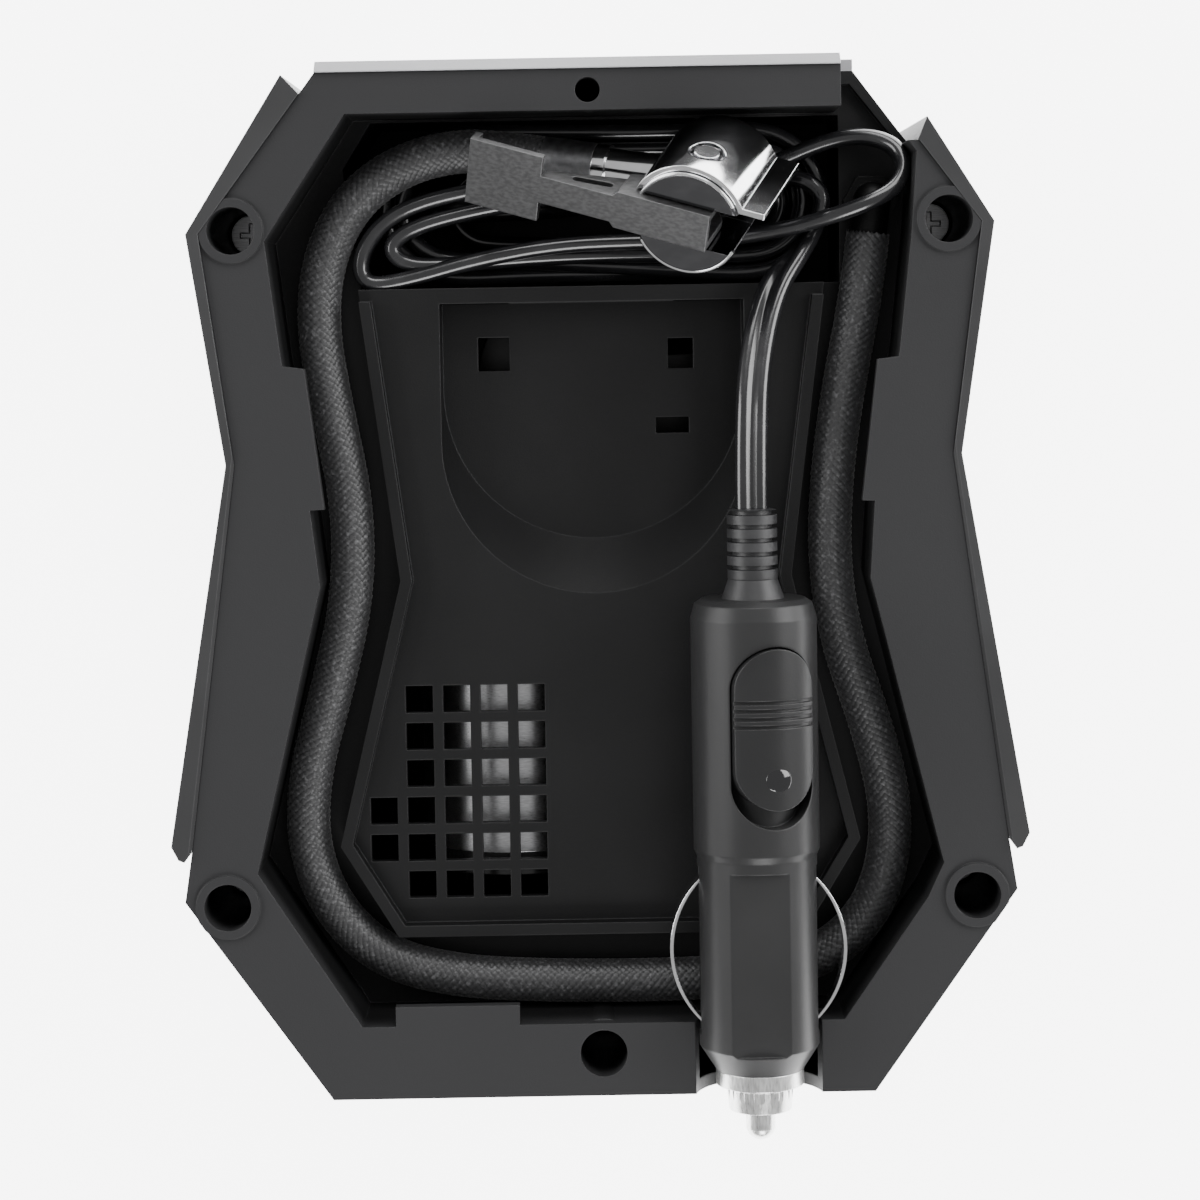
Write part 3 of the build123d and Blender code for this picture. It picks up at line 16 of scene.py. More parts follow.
import bpy
import numpy as np
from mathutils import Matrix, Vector


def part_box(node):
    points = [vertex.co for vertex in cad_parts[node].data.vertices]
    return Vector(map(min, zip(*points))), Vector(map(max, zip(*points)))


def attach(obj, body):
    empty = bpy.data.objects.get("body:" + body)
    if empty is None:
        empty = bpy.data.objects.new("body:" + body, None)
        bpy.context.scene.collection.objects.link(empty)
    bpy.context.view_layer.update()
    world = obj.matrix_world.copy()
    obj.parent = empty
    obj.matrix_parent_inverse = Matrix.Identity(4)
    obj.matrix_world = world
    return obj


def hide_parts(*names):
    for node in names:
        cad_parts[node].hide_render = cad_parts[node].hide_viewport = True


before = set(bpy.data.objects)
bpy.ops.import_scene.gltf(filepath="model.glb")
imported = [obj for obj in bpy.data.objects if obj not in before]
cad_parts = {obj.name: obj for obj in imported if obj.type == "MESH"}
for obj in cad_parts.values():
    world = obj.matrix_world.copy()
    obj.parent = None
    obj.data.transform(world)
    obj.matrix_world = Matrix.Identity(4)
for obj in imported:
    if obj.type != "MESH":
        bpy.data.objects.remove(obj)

log = logging.getLogger("inflator")

MM = 0.001
HOUSING = "housing"
Colour = tuple[float, float, float]
Point = tuple[float, float, float]
MADE: dict[str, bpy.types.Material] = {}


# ---- shader helpers -------------------------------------------------------------------------


class Signal:
    """A value in a material's node tree; arithmetic on it adds Math nodes."""

    def __init__(self, graph: "Graph", socket: bpy.types.NodeSocket) -> None:
        """Wraps one output socket of the graph's tree."""
        self.graph = graph
        self.socket = socket

    def _math(self, operation: str, *values: Any) -> "Signal":
        """Adds a Math node that works on the given values.

        Args:
            operation: name of the Math node's operation.
            *values: numbers or signals, in the order of the node's sockets.

        Returns:
            The node's result.
        """
        return self.graph.add(
            "Math", {"operation": operation}, dict(enumerate(values))
        )

    def __add__(self, other: Any) -> "Signal":
        """Sum."""
        return self._math("ADD", self, other)

    def __radd__(self, other: Any) -> "Signal":
        """Sum with a number on the left."""
        return self._math("ADD", other, self)

    def __sub__(self, other: Any) -> "Signal":
        """Difference."""
        return self._math("SUBTRACT", self, other)

    def __rsub__(self, other: Any) -> "Signal":
        """Difference from a number on the left."""
        return self._math("SUBTRACT", other, self)

    def __mul__(self, other: Any) -> "Signal":
        """Product."""
        return self._math("MULTIPLY", self, other)

    def __rmul__(self, other: Any) -> "Signal":
        """Product with a number on the left."""
        return self._math("MULTIPLY", other, self)

    def __truediv__(self, other: Any) -> "Signal":
        """Quotient."""
        return self._math("DIVIDE", self, other)

    def __pow__(self, other: Any) -> "Signal":
        """Power."""
        return self._math("POWER", self, other)

    def between(self, low: float, high: float) -> "Signal":
        """Spreads low..high over 0..1 with soft ends.

        Args:
            low: value that gives 0.
            high: value that gives 1.

        Returns:
            The spread value, held inside 0..1.
        """
        return self.graph.add(
            "MapRange",
            {"interpolation_type": "SMOOTHSTEP"},
            {"Value": self, "From Min": low, "From Max": high},
        )


class Graph:
    """The node tree of one new material, with its Principled shader."""

    def __init__(self, name: str) -> None:
        """Makes the material and finds its shader."""
        self.material = bpy.data.materials.new(name)
        self.material.use_nodes = True
        self.tree = self.material.node_tree
        self.shader = self.tree.nodes["Principled BSDF"]

    def add(
        self,
        kind: str,
        settings: dict[str, Any] | None = None,
        inputs: dict[int | str, Any] | None = None,
        out: int | str = 0,
    ) -> Signal:
        """Adds one node of any type.

        Args:
            kind: node type without its ShaderNode prefix.
            settings: the node's own properties, set first; "stops" fills a colour ramp.
            inputs: numbers, colours or signals for its sockets.
            out: the output socket that is wanted.

        Returns:
            That output as a signal.
        """
        node = self.tree.nodes.new("ShaderNode" + kind)
        for key, value in (settings or {}).items():
            if key == "stops":
                self._fill_ramp(node.color_ramp, value)
            else:
                setattr(node, key, value)
        for key, value in (inputs or {}).items():
            if isinstance(value, Signal):
                self.tree.links.new(value.socket, node.inputs[key])
            else:
                node.inputs[key].default_value = value
        return Signal(self, node.outputs[out])

    @staticmethod
    def _fill_ramp(
        ramp: bpy.types.ColorRamp, stops: Sequence[tuple[float, Colour]]
    ) -> None:
        """Puts the stops into a colour ramp.

        Args:
            ramp: the ramp to fill.
            stops: position and colour of each stop, in order.
        """
        while len(ramp.elements) < len(stops):
            ramp.elements.new(1.0)
        for element, (position, colour) in zip(ramp.elements, stops):
            element.position = position
            element.color = (*colour, 1.0)

    def place(self) -> Signal:
        """Object coordinates, which are metres in the model's frame."""
        return self.add("TexCoord", out="Object")

    def noise(self, scale: float, detail: float = 3.0, stretch: Point = (1, 1, 1)) -> Signal:
        """Cloudy noise over the surface.

        Args:
            scale: lumps per metre.
            detail: how many finer layers it has.
            stretch: factor along each axis, for streaks.

        Returns:
            A value from 0 to 1.
        """
        spread = self.add("Mapping", {}, {"Vector": self.place(), "Scale": stretch})
        return self.add(
            "TexNoise", {}, {"Vector": spread, "Scale": scale, "Detail": detail}
        )

    def blend(self, share: Any, first: Any, second: Any, mode: str = "MIX") -> Signal:
        """Mixes two colours.

        Args:
            share: 0 gives the first colour and 1 the second.
            first: colour or signal.
            second: colour or signal.
            mode: blending mode.

        Returns:
            The mixed colour.
        """
        return self.add(
            "Mix",
            {"data_type": "RGBA", "blend_type": mode},
            {0: share, 6: rgba(first), 7: rgba(second)},
            out=2,
        )

    def rounded(self, radius: float) -> Signal:
        """Normal with its sharp edges softened over a radius in metres."""
        return self.add("Bevel", {"samples": 6}, {"Radius": radius}, out="Normal")

    def edges(self, soft: Signal) -> Signal:
        """Mask of the sharp edges.

        Args:
            soft: the softened normal.

        Returns:
            0 on flat ground and up to 1 along an edge.
        """
        true = self.add("NewGeometry", out="Normal")
        facing = self.add(
            "VectorMath", {"operation": "DOT_PRODUCT"}, {0: soft, 1: true}, out="Value"
        )
        return (1.0 - facing).between(0.01, 0.14)

    def bump(
        self, height: Signal, strength: float, depth: float, under: Signal | None = None
    ) -> Signal:
        """Turns a height into a normal.

        Args:
            height: the height, from 0 to 1.
            strength: share of the effect.
            depth: height of a full step, in metres.
            under: normal that it is laid over.

        Returns:
            The bumped normal.
        """
        inputs: dict[int | str, Any] = {
            "Height": height,
            "Strength": strength,
            "Distance": depth,
        }
        if under is not None:
            inputs["Normal"] = under
        return self.add("Bump", {}, inputs)

    def feed(self, **sockets: Any) -> None:
        """Sets the shader's sockets; spaces in their names are written as underscores."""
        for key, value in sockets.items():
            socket = self.shader.inputs[key.replace("_", " ")]
            if isinstance(value, Signal):
                self.tree.links.new(value.socket, socket)
            elif socket.type == "RGBA":
                socket.default_value = rgba(value)
            else:
                socket.default_value = value


def rgba(colour: Any) -> Any:
    """Gives a plain colour its fourth number and leaves a signal as it is."""
    if isinstance(colour, Signal):
        return colour
    return (*colour[:3], 1.0)


# ---- finishes -------------------------------------------------------------------------------


@dataclass(frozen=True)
class Finish:
    """What every finish has: a name, a colour and a roughness."""

    name: str
    colour: Colour
    roughness: float

    def paint(self, graph: Graph) -> None:
        """Builds the finish's nodes."""
        raise NotImplementedError

    def material(self) -> bpy.types.Material:
        """Returns the finish's material, made on its first use."""
        if self.name not in MADE:
            graph = Graph(self.name)
            self.paint(graph)
            MADE[self.name] = graph.material
        return MADE[self.name]


@dataclass(frozen=True)
class MouldedPlastic(Finish):
    """Moulded plastic with a fine eroded grain and soft edges; the edges are lightened as a
    painted highlight that also stands for edge wear, and the rim top can be lightened as painted
    light.
    """

    grain: float = 0.35
    edge_radius: float = 0.00035
    # share of the painted edge highlight, which also stands for edge wear
    edge_shine: float = 0.5
    gloss: float = 0.22
    # painted light: factor that lightens faces near the rim top, for the light that the deep bays
    # below do not get
    raised: float = 1.0

    def paint(self, graph: Graph) -> None:
        """Grain, cloudy sheen, edges lightened as a painted highlight (partly edge wear) and the
        rim top lightened as painted light.
        """
        soft = graph.rounded(self.edge_radius)
        grain = graph.noise(3400.0, 2.0)
        cloud = graph.noise(38.0, 3.0)
        # painted highlight: sharp edges are lightened towards the light colour, standing in part
        # for edge wear too
        edge = graph.edges(soft)
        light = tuple(min(1.0, c * 2.6 + 0.02) for c in self.colour)
        dark = tuple(c * 0.8 for c in self.colour)
        base = graph.blend(cloud.between(0.3, 0.75), dark, self.colour)
        # painted light: faces from 58.5 mm up to the rim top at 65.5 mm are lightened, since the
        # deep bays get less light
        if self.raised > 1.0:
            high = graph.add("SeparateXYZ", {}, {0: graph.place()}, out="Z")
            rim_lit_colour = tuple(c * self.raised for c in self.colour)
            base = graph.blend(high.between(0.0585, 0.0655), base, rim_lit_colour)
        graph.feed(
            Base_Color=graph.blend(edge * self.edge_shine, base, light),
            Roughness=self.roughness + (cloud - 0.5) * 0.14 + (grain - 0.5) * 0.16,
            Specular_IOR_Level=self.gloss,
            Normal=graph.bump(grain, self.grain, 0.00006, soft),
        )


@dataclass(frozen=True)
class PolishedMetal(Finish):
    """Bright or dark plating with faint smears."""

    edge_radius: float = 0.0003

    def paint(self, graph: Graph) -> None:
        """Smears in the roughness and a trace of waviness."""
        soft = graph.rounded(self.edge_radius)
        smear = graph.noise(210.0, 4.0, (1.0, 2.2, 1.0))
        speck = graph.noise(2600.0, 2.0)
        tint = tuple(c * 0.86 for c in self.colour)
        graph.feed(
            Base_Color=graph.blend(smear.between(0.35, 0.7), tint, self.colour),
            Metallic=1.0,
            Roughness=self.roughness + (smear - 0.5) * 0.1 + (speck - 0.5) * 0.05,
            Normal=graph.bump(smear, 0.05, 0.0001, soft),
        )


@dataclass(frozen=True)
class BrushedMetal(Finish):
    """Rolled, pressed or turned metal with fine streaks along one axis."""

    streaks: Point = (1.0, 14.0, 14.0)
    edge_radius: float = 0.00025

    def paint(self, graph: Graph) -> None:
        """Streaks in colour, roughness and height, with edges lightened as a painted highlight
        that also stands for worn edges.
        """
        soft = graph.rounded(self.edge_radius)
        streak = graph.noise(420.0, 4.0, self.streaks)
        patch = graph.noise(90.0, 3.0)
        # painted highlight: sharp edges are lightened towards the light colour, partly standing
        # for worn edges too
        edge = graph.edges(soft)
        dark = tuple(c * 0.72 for c in self.colour)
        light = tuple(min(1.0, c * 1.4 + 0.05) for c in self.colour)
        base = graph.blend(streak.between(0.3, 0.7), dark, self.colour)
        graph.feed(
            Base_Color=graph.blend(edge * 0.6, base, light),
            Metallic=1.0,
            Roughness=self.roughness + (streak - 0.5) * 0.2 + (patch - 0.5) * 0.08,
            Normal=graph.bump(streak, 0.16, 0.00005, soft),
        )


@dataclass(frozen=True)
class Vinyl(Finish):
    """Flexible PVC or rubber, from glossy to dull."""

    gloss: float = 0.5
    coat: float = 0.0

    def paint(self, graph: Graph) -> None:
        """Fine skin with finger-dull patches."""
        skin = graph.noise(1500.0, 3.0)
        patch = graph.noise(130.0, 3.0)
        worn = tuple(c * 1.7 + 0.004 for c in self.colour)
        graph.feed(
            Base_Color=graph.blend(patch.between(0.45, 0.8), self.colour, worn),
            Roughness=self.roughness + (patch - 0.5) * 0.16 + (skin - 0.5) * 0.08,
            Specular_IOR_Level=self.gloss,
            Coat_Weight=self.coat,
            Coat_Roughness=0.12,
            Normal=graph.bump(skin, 0.12, 0.00005),
        )


@dataclass(frozen=True)
class BraidYarn(Finish):
    """Polyester yarn: fine filaments with a soft shine."""

    def paint(self, graph: Graph) -> None:
        """Filament ridges and light flecks."""
        fibre = graph.noise(5200.0, 3.0)
        fleck = graph.noise(1300.0, 2.0)
        light = tuple(c * 3.2 + 0.01 for c in self.colour)
        graph.feed(
            Base_Color=graph.blend(fleck.between(0.5, 0.82), self.colour, light),
            Roughness=self.roughness + (fibre - 0.5) * 0.22,
            Specular_IOR_Level=0.55,
            Sheen_Weight=0.12,
            Sheen_Roughness=0.4,
            Normal=graph.bump(fibre, 0.35, 0.00008),
        )


@dataclass(frozen=True)
class ClearGlass(Finish):
    """Clear acrylic or glass with faint haze."""

    def paint(self, graph: Graph) -> None:
        """Clear body with a hint of haze."""
        haze = graph.noise(300.0, 2.0)
        graph.feed(
            Base_Color=graph.blend(haze.between(0.4, 0.8), self.colour, (1, 1, 1)),
            Roughness=self.roughness + (haze - 0.5) * 0.02,
            Transmission_Weight=1.0,
            IOR=1.49,
        )


@dataclass(frozen=True)
class PrintedInk(Finish):
    """Flat ink or card with a little tooth, that may glow."""

    glow: float = 0.0

    def paint(self, graph: Graph) -> None:
        """Slight mottling."""
        tooth = graph.noise(2400.0, 3.0)
        dark = tuple(c * 0.9 for c in self.colour)
        graph.feed(
            Base_Color=graph.blend(tooth.between(0.3, 0.7), dark, self.colour),
            Roughness=self.roughness + (tooth - 0.5) * 0.1,
            Emission_Color=(1.0, 1.0, 1.0),
            Emission_Strength=self.glow,
            Normal=graph.bump(tooth, 0.1, 0.00003),
        )


class Looks(Enum):
    """Every finish on the inflator."""

    # the rear cover's rim top is painted 3.4 times lighter as painted light
    COVER = MouldedPlastic(
        "cover_plastic", (0.0075, 0.0075, 0.0078), 0.50, raised=3.4
    )
    FRONT = MouldedPlastic("front_plastic", (0.016, 0.016, 0.0165), 0.50)
    # painted light: the top panel is painted light grey for light from above, and the side panels
    # a little lighter than the cover for light on their sideways faces
    PANEL = MouldedPlastic("trim_side_painted_light", (0.040, 0.040, 0.041), 0.42)
    TOP = MouldedPlastic("trim_top_painted_light", (0.30, 0.30, 0.31), 0.40)
    PLUG = MouldedPlastic(
        "plug_plastic", (0.024, 0.024, 0.0245), 0.36, 0.2, 0.0004, 0.3, 0.3
    )
    SLIDER = MouldedPlastic(
        "slider_plastic", (0.018, 0.018, 0.0185), 0.34, 0.2, 0.0003, 0.4, 0.3
    )
    SWITCH = MouldedPlastic(
        "switch_plastic", (0.018, 0.018, 0.018), 0.22, 0.1, 0.0003, 0.3, 0.5
    )
    ROCKER = MouldedPlastic(
        "rocker_plastic", (0.42, 0.025, 0.02), 0.24, 0.1, 0.0003, 0.3, 0.5
    )
    NYLON = MouldedPlastic("gear_nylon", (0.70, 0.67, 0.57), 0.40, 0.15)
    CHROME = PolishedMetal("bright_plating", (0.86, 0.86, 0.87), 0.11)
    # painted reflection: chrome painted dark, standing in for the dark surroundings that the
    # chuck barrel reflects
    DARK_CHROME = PolishedMetal("chrome_painted_dark_reflection", (0.13, 0.13, 0.135), 0.14)
    CRIMP = BrushedMetal("crimp_plating", (0.16, 0.16, 0.165), 0.48, (2.0, 2.0, 2.0))
    BRASS = BrushedMetal("turned_brass", (0.70, 0.52, 0.25), 0.30)
    ELBOW = BrushedMetal("dark_fitting", (0.022, 0.022, 0.022), 0.5)
    ZINC = BrushedMetal("zinc_steel", (0.60, 0.60, 0.61), 0.32)
    LEVER = BrushedMetal("lever_steel", (0.15, 0.15, 0.152), 0.50, (2.0, 5.0, 5.0))
    CAST = BrushedMetal("cast_aluminium", (0.66, 0.66, 0.67), 0.45, (3.0, 3.0, 3.0))
    NICKEL = BrushedMetal("satin_nickel", (0.83, 0.83, 0.82), 0.30, (9.0, 1.5, 9.0))
    IRON = BrushedMetal("magnet_iron", (0.13, 0.13, 0.135), 0.52, (4.0, 1.0, 4.0))
    NEEDLE = PrintedInk("needle_paint", (0.65, 0.04, 0.03), 0.35)
    RUBBER = Vinyl("seal_rubber", (0.014, 0.014, 0.014), 0.6, 0.3)
    RELIEF = Vinyl("relief_vinyl", (0.026, 0.026, 0.027), 0.42, 0.45)
    LEAD = Vinyl("lead_vinyl", (0.010, 0.010, 0.011), 0.24, 0.55, 0.5)
    YARN = BraidYarn("braid_yarn", (0.030, 0.030, 0.031), 0.44)
    LENS = MouldedPlastic(
        "lens_plastic", (0.006, 0.006, 0.007), 0.08, 0.05, 0.0001, 0.2, 0.8
    )
    GLASS = ClearGlass("clear_glass", (0.94, 0.96, 0.97), 0.04)
    CARD = PrintedInk("dial_card", (0.82, 0.82, 0.79), 0.55)
    INK = PrintedInk("dial_ink", (0.015, 0.015, 0.016), 0.5)
    FLOOR = PrintedInk("studio_floor", (0.86, 0.86, 0.86), 0.7, 6.0)

    def put_on(self, *nodes: str) -> None:
        """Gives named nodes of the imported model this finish.

        Args:
            *nodes: node names.
        """
        for name in nodes:
            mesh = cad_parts[name].data
            mesh.materials.clear()
            mesh.materials.append(self.value.material())
            log.info("%s: %s", name, self.value.name)


# ---- mesh helpers ---------------------------------------------------------------------------


def mesh_piece(
    name: str,
    points: np.ndarray,
    faces: Iterable[Sequence[int]],
    *finishes: Looks,
    marks: Sequence[int] | None = None,
) -> bpy.types.Object:
    """Makes a smooth mesh object whose points are in the model's frame.

    Args:
        name: the piece's name.
        points: one row of x, y, z per point, in metres.
        faces: point numbers of each face.
        *finishes: its finishes, in the order of its material slots.
        marks: the material slot of each face.

    Returns:
        The new object, linked to the scene.
    """
    mesh = bpy.data.meshes.new(name)
    mesh.from_pydata(points.tolist(), [], [list(map(int, f)) for f in faces])
    mesh.shade_smooth()
    for finish in finishes:
        mesh.materials.append(finish.value.material())
    if marks is not None:
        mesh.polygons.foreach_set("material_index", list(marks))
    mesh.update()
    piece = bpy.data.objects.new(name, mesh)
    bpy.context.scene.collection.objects.link(piece)
    return piece


def grid_faces(rings: int, around: int, start: int, closed: bool) -> np.ndarray:
    """Four-sided faces between rings of points.

    Args:
        rings: number of rings.
        around: points in each ring.
        start: number of the first point.
        closed: whether a ring's last point joins its first.

    Returns:
        One row of four point numbers per face.
    """
    span = around if closed else around - 1
    ring, step = np.meshgrid(np.arange(rings - 1), np.arange(span), indexing="ij")
    ahead = (step + 1) % around
    a, b = ring * around + step, ring * around + ahead
    quads = np.stack([a, b, b + around, a + around], axis=-1).reshape(-1, 4)
    return quads + start


def unit(rows: np.ndarray) -> np.ndarray:
    """Scales each row to length one."""
    return rows / np.maximum(np.linalg.norm(rows, axis=-1, keepdims=True), 1e-12)


def spline_line(name: str, route: Sequence[Point], steps: int) -> np.ndarray:
    """Points along the NURBS spline of a route.

    Args:
        name: name for the spline while it is read.
        route: control points in millimetres.
        steps: points per run.

    Returns:
        One row of x, y, z per point, in metres.
    """
    curve = bpy.data.curves.new(name, "CURVE")
    curve.dimensions = "3D"
    curve.resolution_u = steps
    spline = curve.splines.new("NURBS")
    spline.points.add(len(route) - 1)
    for point, (x, y, z) in zip(spline.points, route):
        point.co = (x * MM, y * MM, z * MM, 1.0)
    spline.order_u = 3
    spline.use_endpoint_u = True
    holder = bpy.data.objects.new(name, curve)
    bpy.context.scene.collection.objects.link(holder)
    mesh = bpy.data.meshes.new_from_object(holder)
    line = np.array([v.co for v in mesh.vertices], float)
    bpy.data.meshes.remove(mesh)
    bpy.data.objects.remove(holder)
    bpy.data.curves.remove(curve)
    return line


def line_length(line: np.ndarray) -> float:
    """Length along a row of points."""
    return float(np.linalg.norm(np.diff(line, axis=0), axis=1).sum())


def tangents(line: np.ndarray) -> np.ndarray:
    """Unit direction of travel at each point of a line."""
    return unit(np.gradient(line, axis=0))


def evened(line: np.ndarray, step: float) -> np.ndarray:
    """Respaces a line's points evenly along it.

    Args:
        line: the points.
        step: wanted spacing, in metres.

    Returns:
        The respaced points, with the same ends.
    """
    along = np.concatenate([[0.0], np.cumsum(np.linalg.norm(np.diff(line, axis=0), axis=1))])
    places = np.linspace(0.0, along[-1], max(2, int(round(along[-1] / step)) + 1))
    return np.stack([np.interp(places, along, line[:, k]) for k in range(3)], axis=1)


def carried_normals(line: np.ndarray) -> np.ndarray:
    """A sideways direction at each point of a line that turns as little as it can.

    Args:
        line: the points.

    Returns:
        One unit row per point, square to the line.
    """
    ahead = tangents(line)
    side = np.cross(ahead[0], (0.0, 0.0, 1.0))
    rows = [unit(side)]
    for direction in ahead[1:]:
        side = rows[-1] - direction * np.dot(rows[-1], direction)
        rows.append(unit(side))
    return np.array(rows)


# ---- studio ---------------------------------------------------------------------------------


@dataclass
class Studio:
    """Camera, floor and lights."""

    camera_place: Point = (0.0015, 0.046, 0.566)
    lens: float = 88.7
    tilt: float = 2.85
    roll: float = 1.0
    lift: float = -0.12
    floor_half: float = 2.5

    def set_camera(self) -> None:
        """Looks straight down on the storage side, a little from its top end."""
        data = bpy.data.cameras.new("camera")
        data.lens = self.lens
        data.sensor_width = 36.0
        data.shift_y = self.lift
        data.clip_start = 0.02
        data.clip_end = 20.0
        camera = bpy.data.objects.new("camera", data)
        camera.location = self.camera_place
        camera.rotation_euler = (-math.radians(self.tilt), 0.0, -math.radians(self.roll))
        bpy.context.scene.collection.objects.link(camera)
        bpy.context.scene.camera = camera

    def set_floor(self) -> None:
        """A plain pale floor under the inflator."""
        h = self.floor_half
        corners = np.array([(-h, -h, 0), (h, -h, 0), (h, h, 0), (-h, h, 0)], float)
        corners[:, 2] = -0.0002
        floor = mesh_piece("studio_floor", corners, [(0, 1, 2, 3)], Looks.FLOOR)

    def add_lamp(self, name: str, place: Point, aim: Point, size: float, power: float) -> None:
        """Adds one square soft light.

        Args:
            name: the light's name.
            place: where it hangs.
            aim: the point that it faces.
            size: its side.
            power: its power in watts.
        """
        data = bpy.data.lights.new(name, "AREA")
        data.size = size
        data.energy = power
        lamp = bpy.data.objects.new(name, data)
        lamp.location = place
        lamp.rotation_mode = "QUATERNION"
        direction = Vector(aim) - Vector(place)
        lamp.rotation_quaternion = direction.to_track_quat("-Z", "Y")
        bpy.context.scene.collection.objects.link(lamp)

    def set_lights(self) -> None:
        """Four soft boxes round the inflator and an even surround."""
        self.add_lamp("left_box", (-1.0, 0.2, 0.55), (0, 0, 0.05), 0.7, 10.0)
        self.add_lamp("right_box", (1.0, 0.3, 0.6), (0, 0, 0.05), 0.7, 13.0)
        self.add_lamp("top_box", (0.1, 1.1, 0.7), (0, 0, 0.05), 0.7, 9.0)
        self.add_lamp("low_box", (0.2, -1.0, 0.8), (0, 0, 0.05), 0.6, 10.0)
        world = bpy.data.worlds.new("surround")
        world.use_nodes = True
        background = world.node_tree.nodes["Background"]
        background.inputs["Color"].default_value = (1.0, 1.0, 1.0, 1.0)
        background.inputs["Strength"].default_value = 0.55
        bpy.context.scene.world = world


# ---- hose -----------------------------------------------------------------------------------


@dataclass
class BraidedHose:
    """Rubber hose under a braided cover, laid once round the channel."""

    radius: float = 0.0039
    carriers: int = 16
    pitch: float = 0.0200
    lift: float = 0.00016
    yarn_half: float = 0.00044
    crown: float = 0.00014
    cover: float = 0.0005
    seat: float = 0.0002
    around: int = 16
    route: tuple[Point, ...] = (
        (48.2, 58.2, 51.95), (46.7, 47, 51.95), (44, 34, 51.95), (41.6, 19.5, 51.95),
        (40.5, 3, 51.95), (42.4, -12, 51.95), (47.6, -27, 51.95), (51, -41, 51.95),
        (50.2, -53, 51.95), (45.8, -62.2, 51.95), (37.5, -68.6, 51.95), (25, -71.4, 51.95),
        (8, -71.9, 51.95), (-10, -71.6, 51.95), (-25.5, -70.6, 51.95), (-38, -67.2, 51.95),
        (-46.6, -59.2, 51.95), (-51.2, -48, 51.95), (-50.9, -35, 51.95),
        (-46.4, -19.5, 51.95), (-42.4, -3, 51.95), (-42.2, 13, 51.95), (-45.3, 29, 51.95),
        (-47.6, 43, 51.95), (-46.6, 55, 51.95), (-41.2, 65.5, 51.95),
        (-32.5, 71.6, 51.55), (-22.5, 74, 50.35), (-13.618, 73.270, 48.536),
        (-7.505, 72.260, 50.503),
    )

    def lay_tube(self, line: np.ndarray, side: np.ndarray, up: np.ndarray) -> np.ndarray:
        """Rings of the rubber tube under the braid.

        Args:
            line: centre points.
            side: sideways direction at each.
            up: direction square to both.

        Returns:
            All ring points, ring after ring.
        """
        turn = np.linspace(0, 2 * math.pi, self.around, endpoint=False)
        reach = self.radius - self.cover
        out = (
            np.cos(turn)[None, :, None] * side[:, None, :]
            + np.sin(turn)[None, :, None] * up[:, None, :]
        )
        return (line[:, None, :] + reach * out).reshape(-1, 3)

    def lay_yarn(
        self, line: np.ndarray, side: np.ndarray, up: np.ndarray, index: int, hand: int
    ) -> np.ndarray:
        """One flat yarn that winds over and under the others.

        Args:
            line: centre points, evenly spaced.
            side: sideways direction at each.
            up: direction square to both.
            index: which carrier it is.
            hand: 1 or -1, the way that it winds.

        Returns:
            Three points across the yarn at each centre point.
        """
        ahead = np.cross(side, up)
        along = np.arange(len(line)) * self.step(line)
        turn = 2 * math.pi * (index / self.carriers + hand * along / self.pitch)
        wave = hand * np.cos(2 * math.pi * self.carriers * along / self.pitch)
        reach = self.radius - self.crown - self.seat + self.lift * wave
        out = np.cos(turn)[:, None] * side + np.sin(turn)[:, None] * up
        round_it = -np.sin(turn)[:, None] * side + np.cos(turn)[:, None] * up
        rise = 2 * math.pi * self.radius / self.pitch
        across = unit(round_it - hand * rise * ahead)
        rows = [
            line + reach[:, None] * out + shift * self.yarn_half * across + crown * out
            for shift, crown in ((-1, 0.0), (0, self.crown), (1, 0.0))
        ]
        return np.stack(rows, axis=1).reshape(-1, 3)

    @staticmethod
    def step(line: np.ndarray) -> float:
        """Spacing of an evenly spaced line."""
        return line_length(line) / (len(line) - 1)

    def build(self, bead: bpy.types.Object) -> bpy.types.Object:
        """Builds the tube and its braid as one mesh.

        Args:
            bead: the chuck's bead; not used.

        Returns:
            The hose.
        """
        coarse = spline_line("hose_line", self.route, 12)
        line = evened(coarse, self.pitch / self.carriers / 3)
        side = carried_normals(line)
        up = np.cross(tangents(line), side)
        parts = [self.lay_tube(line[::4], side[::4], up[::4])]
        faces = [grid_faces(len(line[::4]), self.around, 0, True)]
        marks = [0] * len(faces[0])
        start = len(parts[0])
        for hand in (1, -1):
            for index in range(self.carriers):
                parts.append(self.lay_yarn(line, side, up, index, hand))
                faces.append(grid_faces(len(line), 3, start, False))
                marks += [1] * len(faces[-1])
                start += len(parts[-1])
        hose = mesh_piece(
            "braided_hose",
            np.concatenate(parts),
            np.concatenate(faces),
            Looks.RUBBER,
            Looks.YARN,
            marks=marks,
        )
        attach(hose, HOUSING)
        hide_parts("hose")
        log.info("braided_hose: %.3f m on its line", line_length(line))
        return hose


# ---- power lead -----------------------------------------------------------------------------


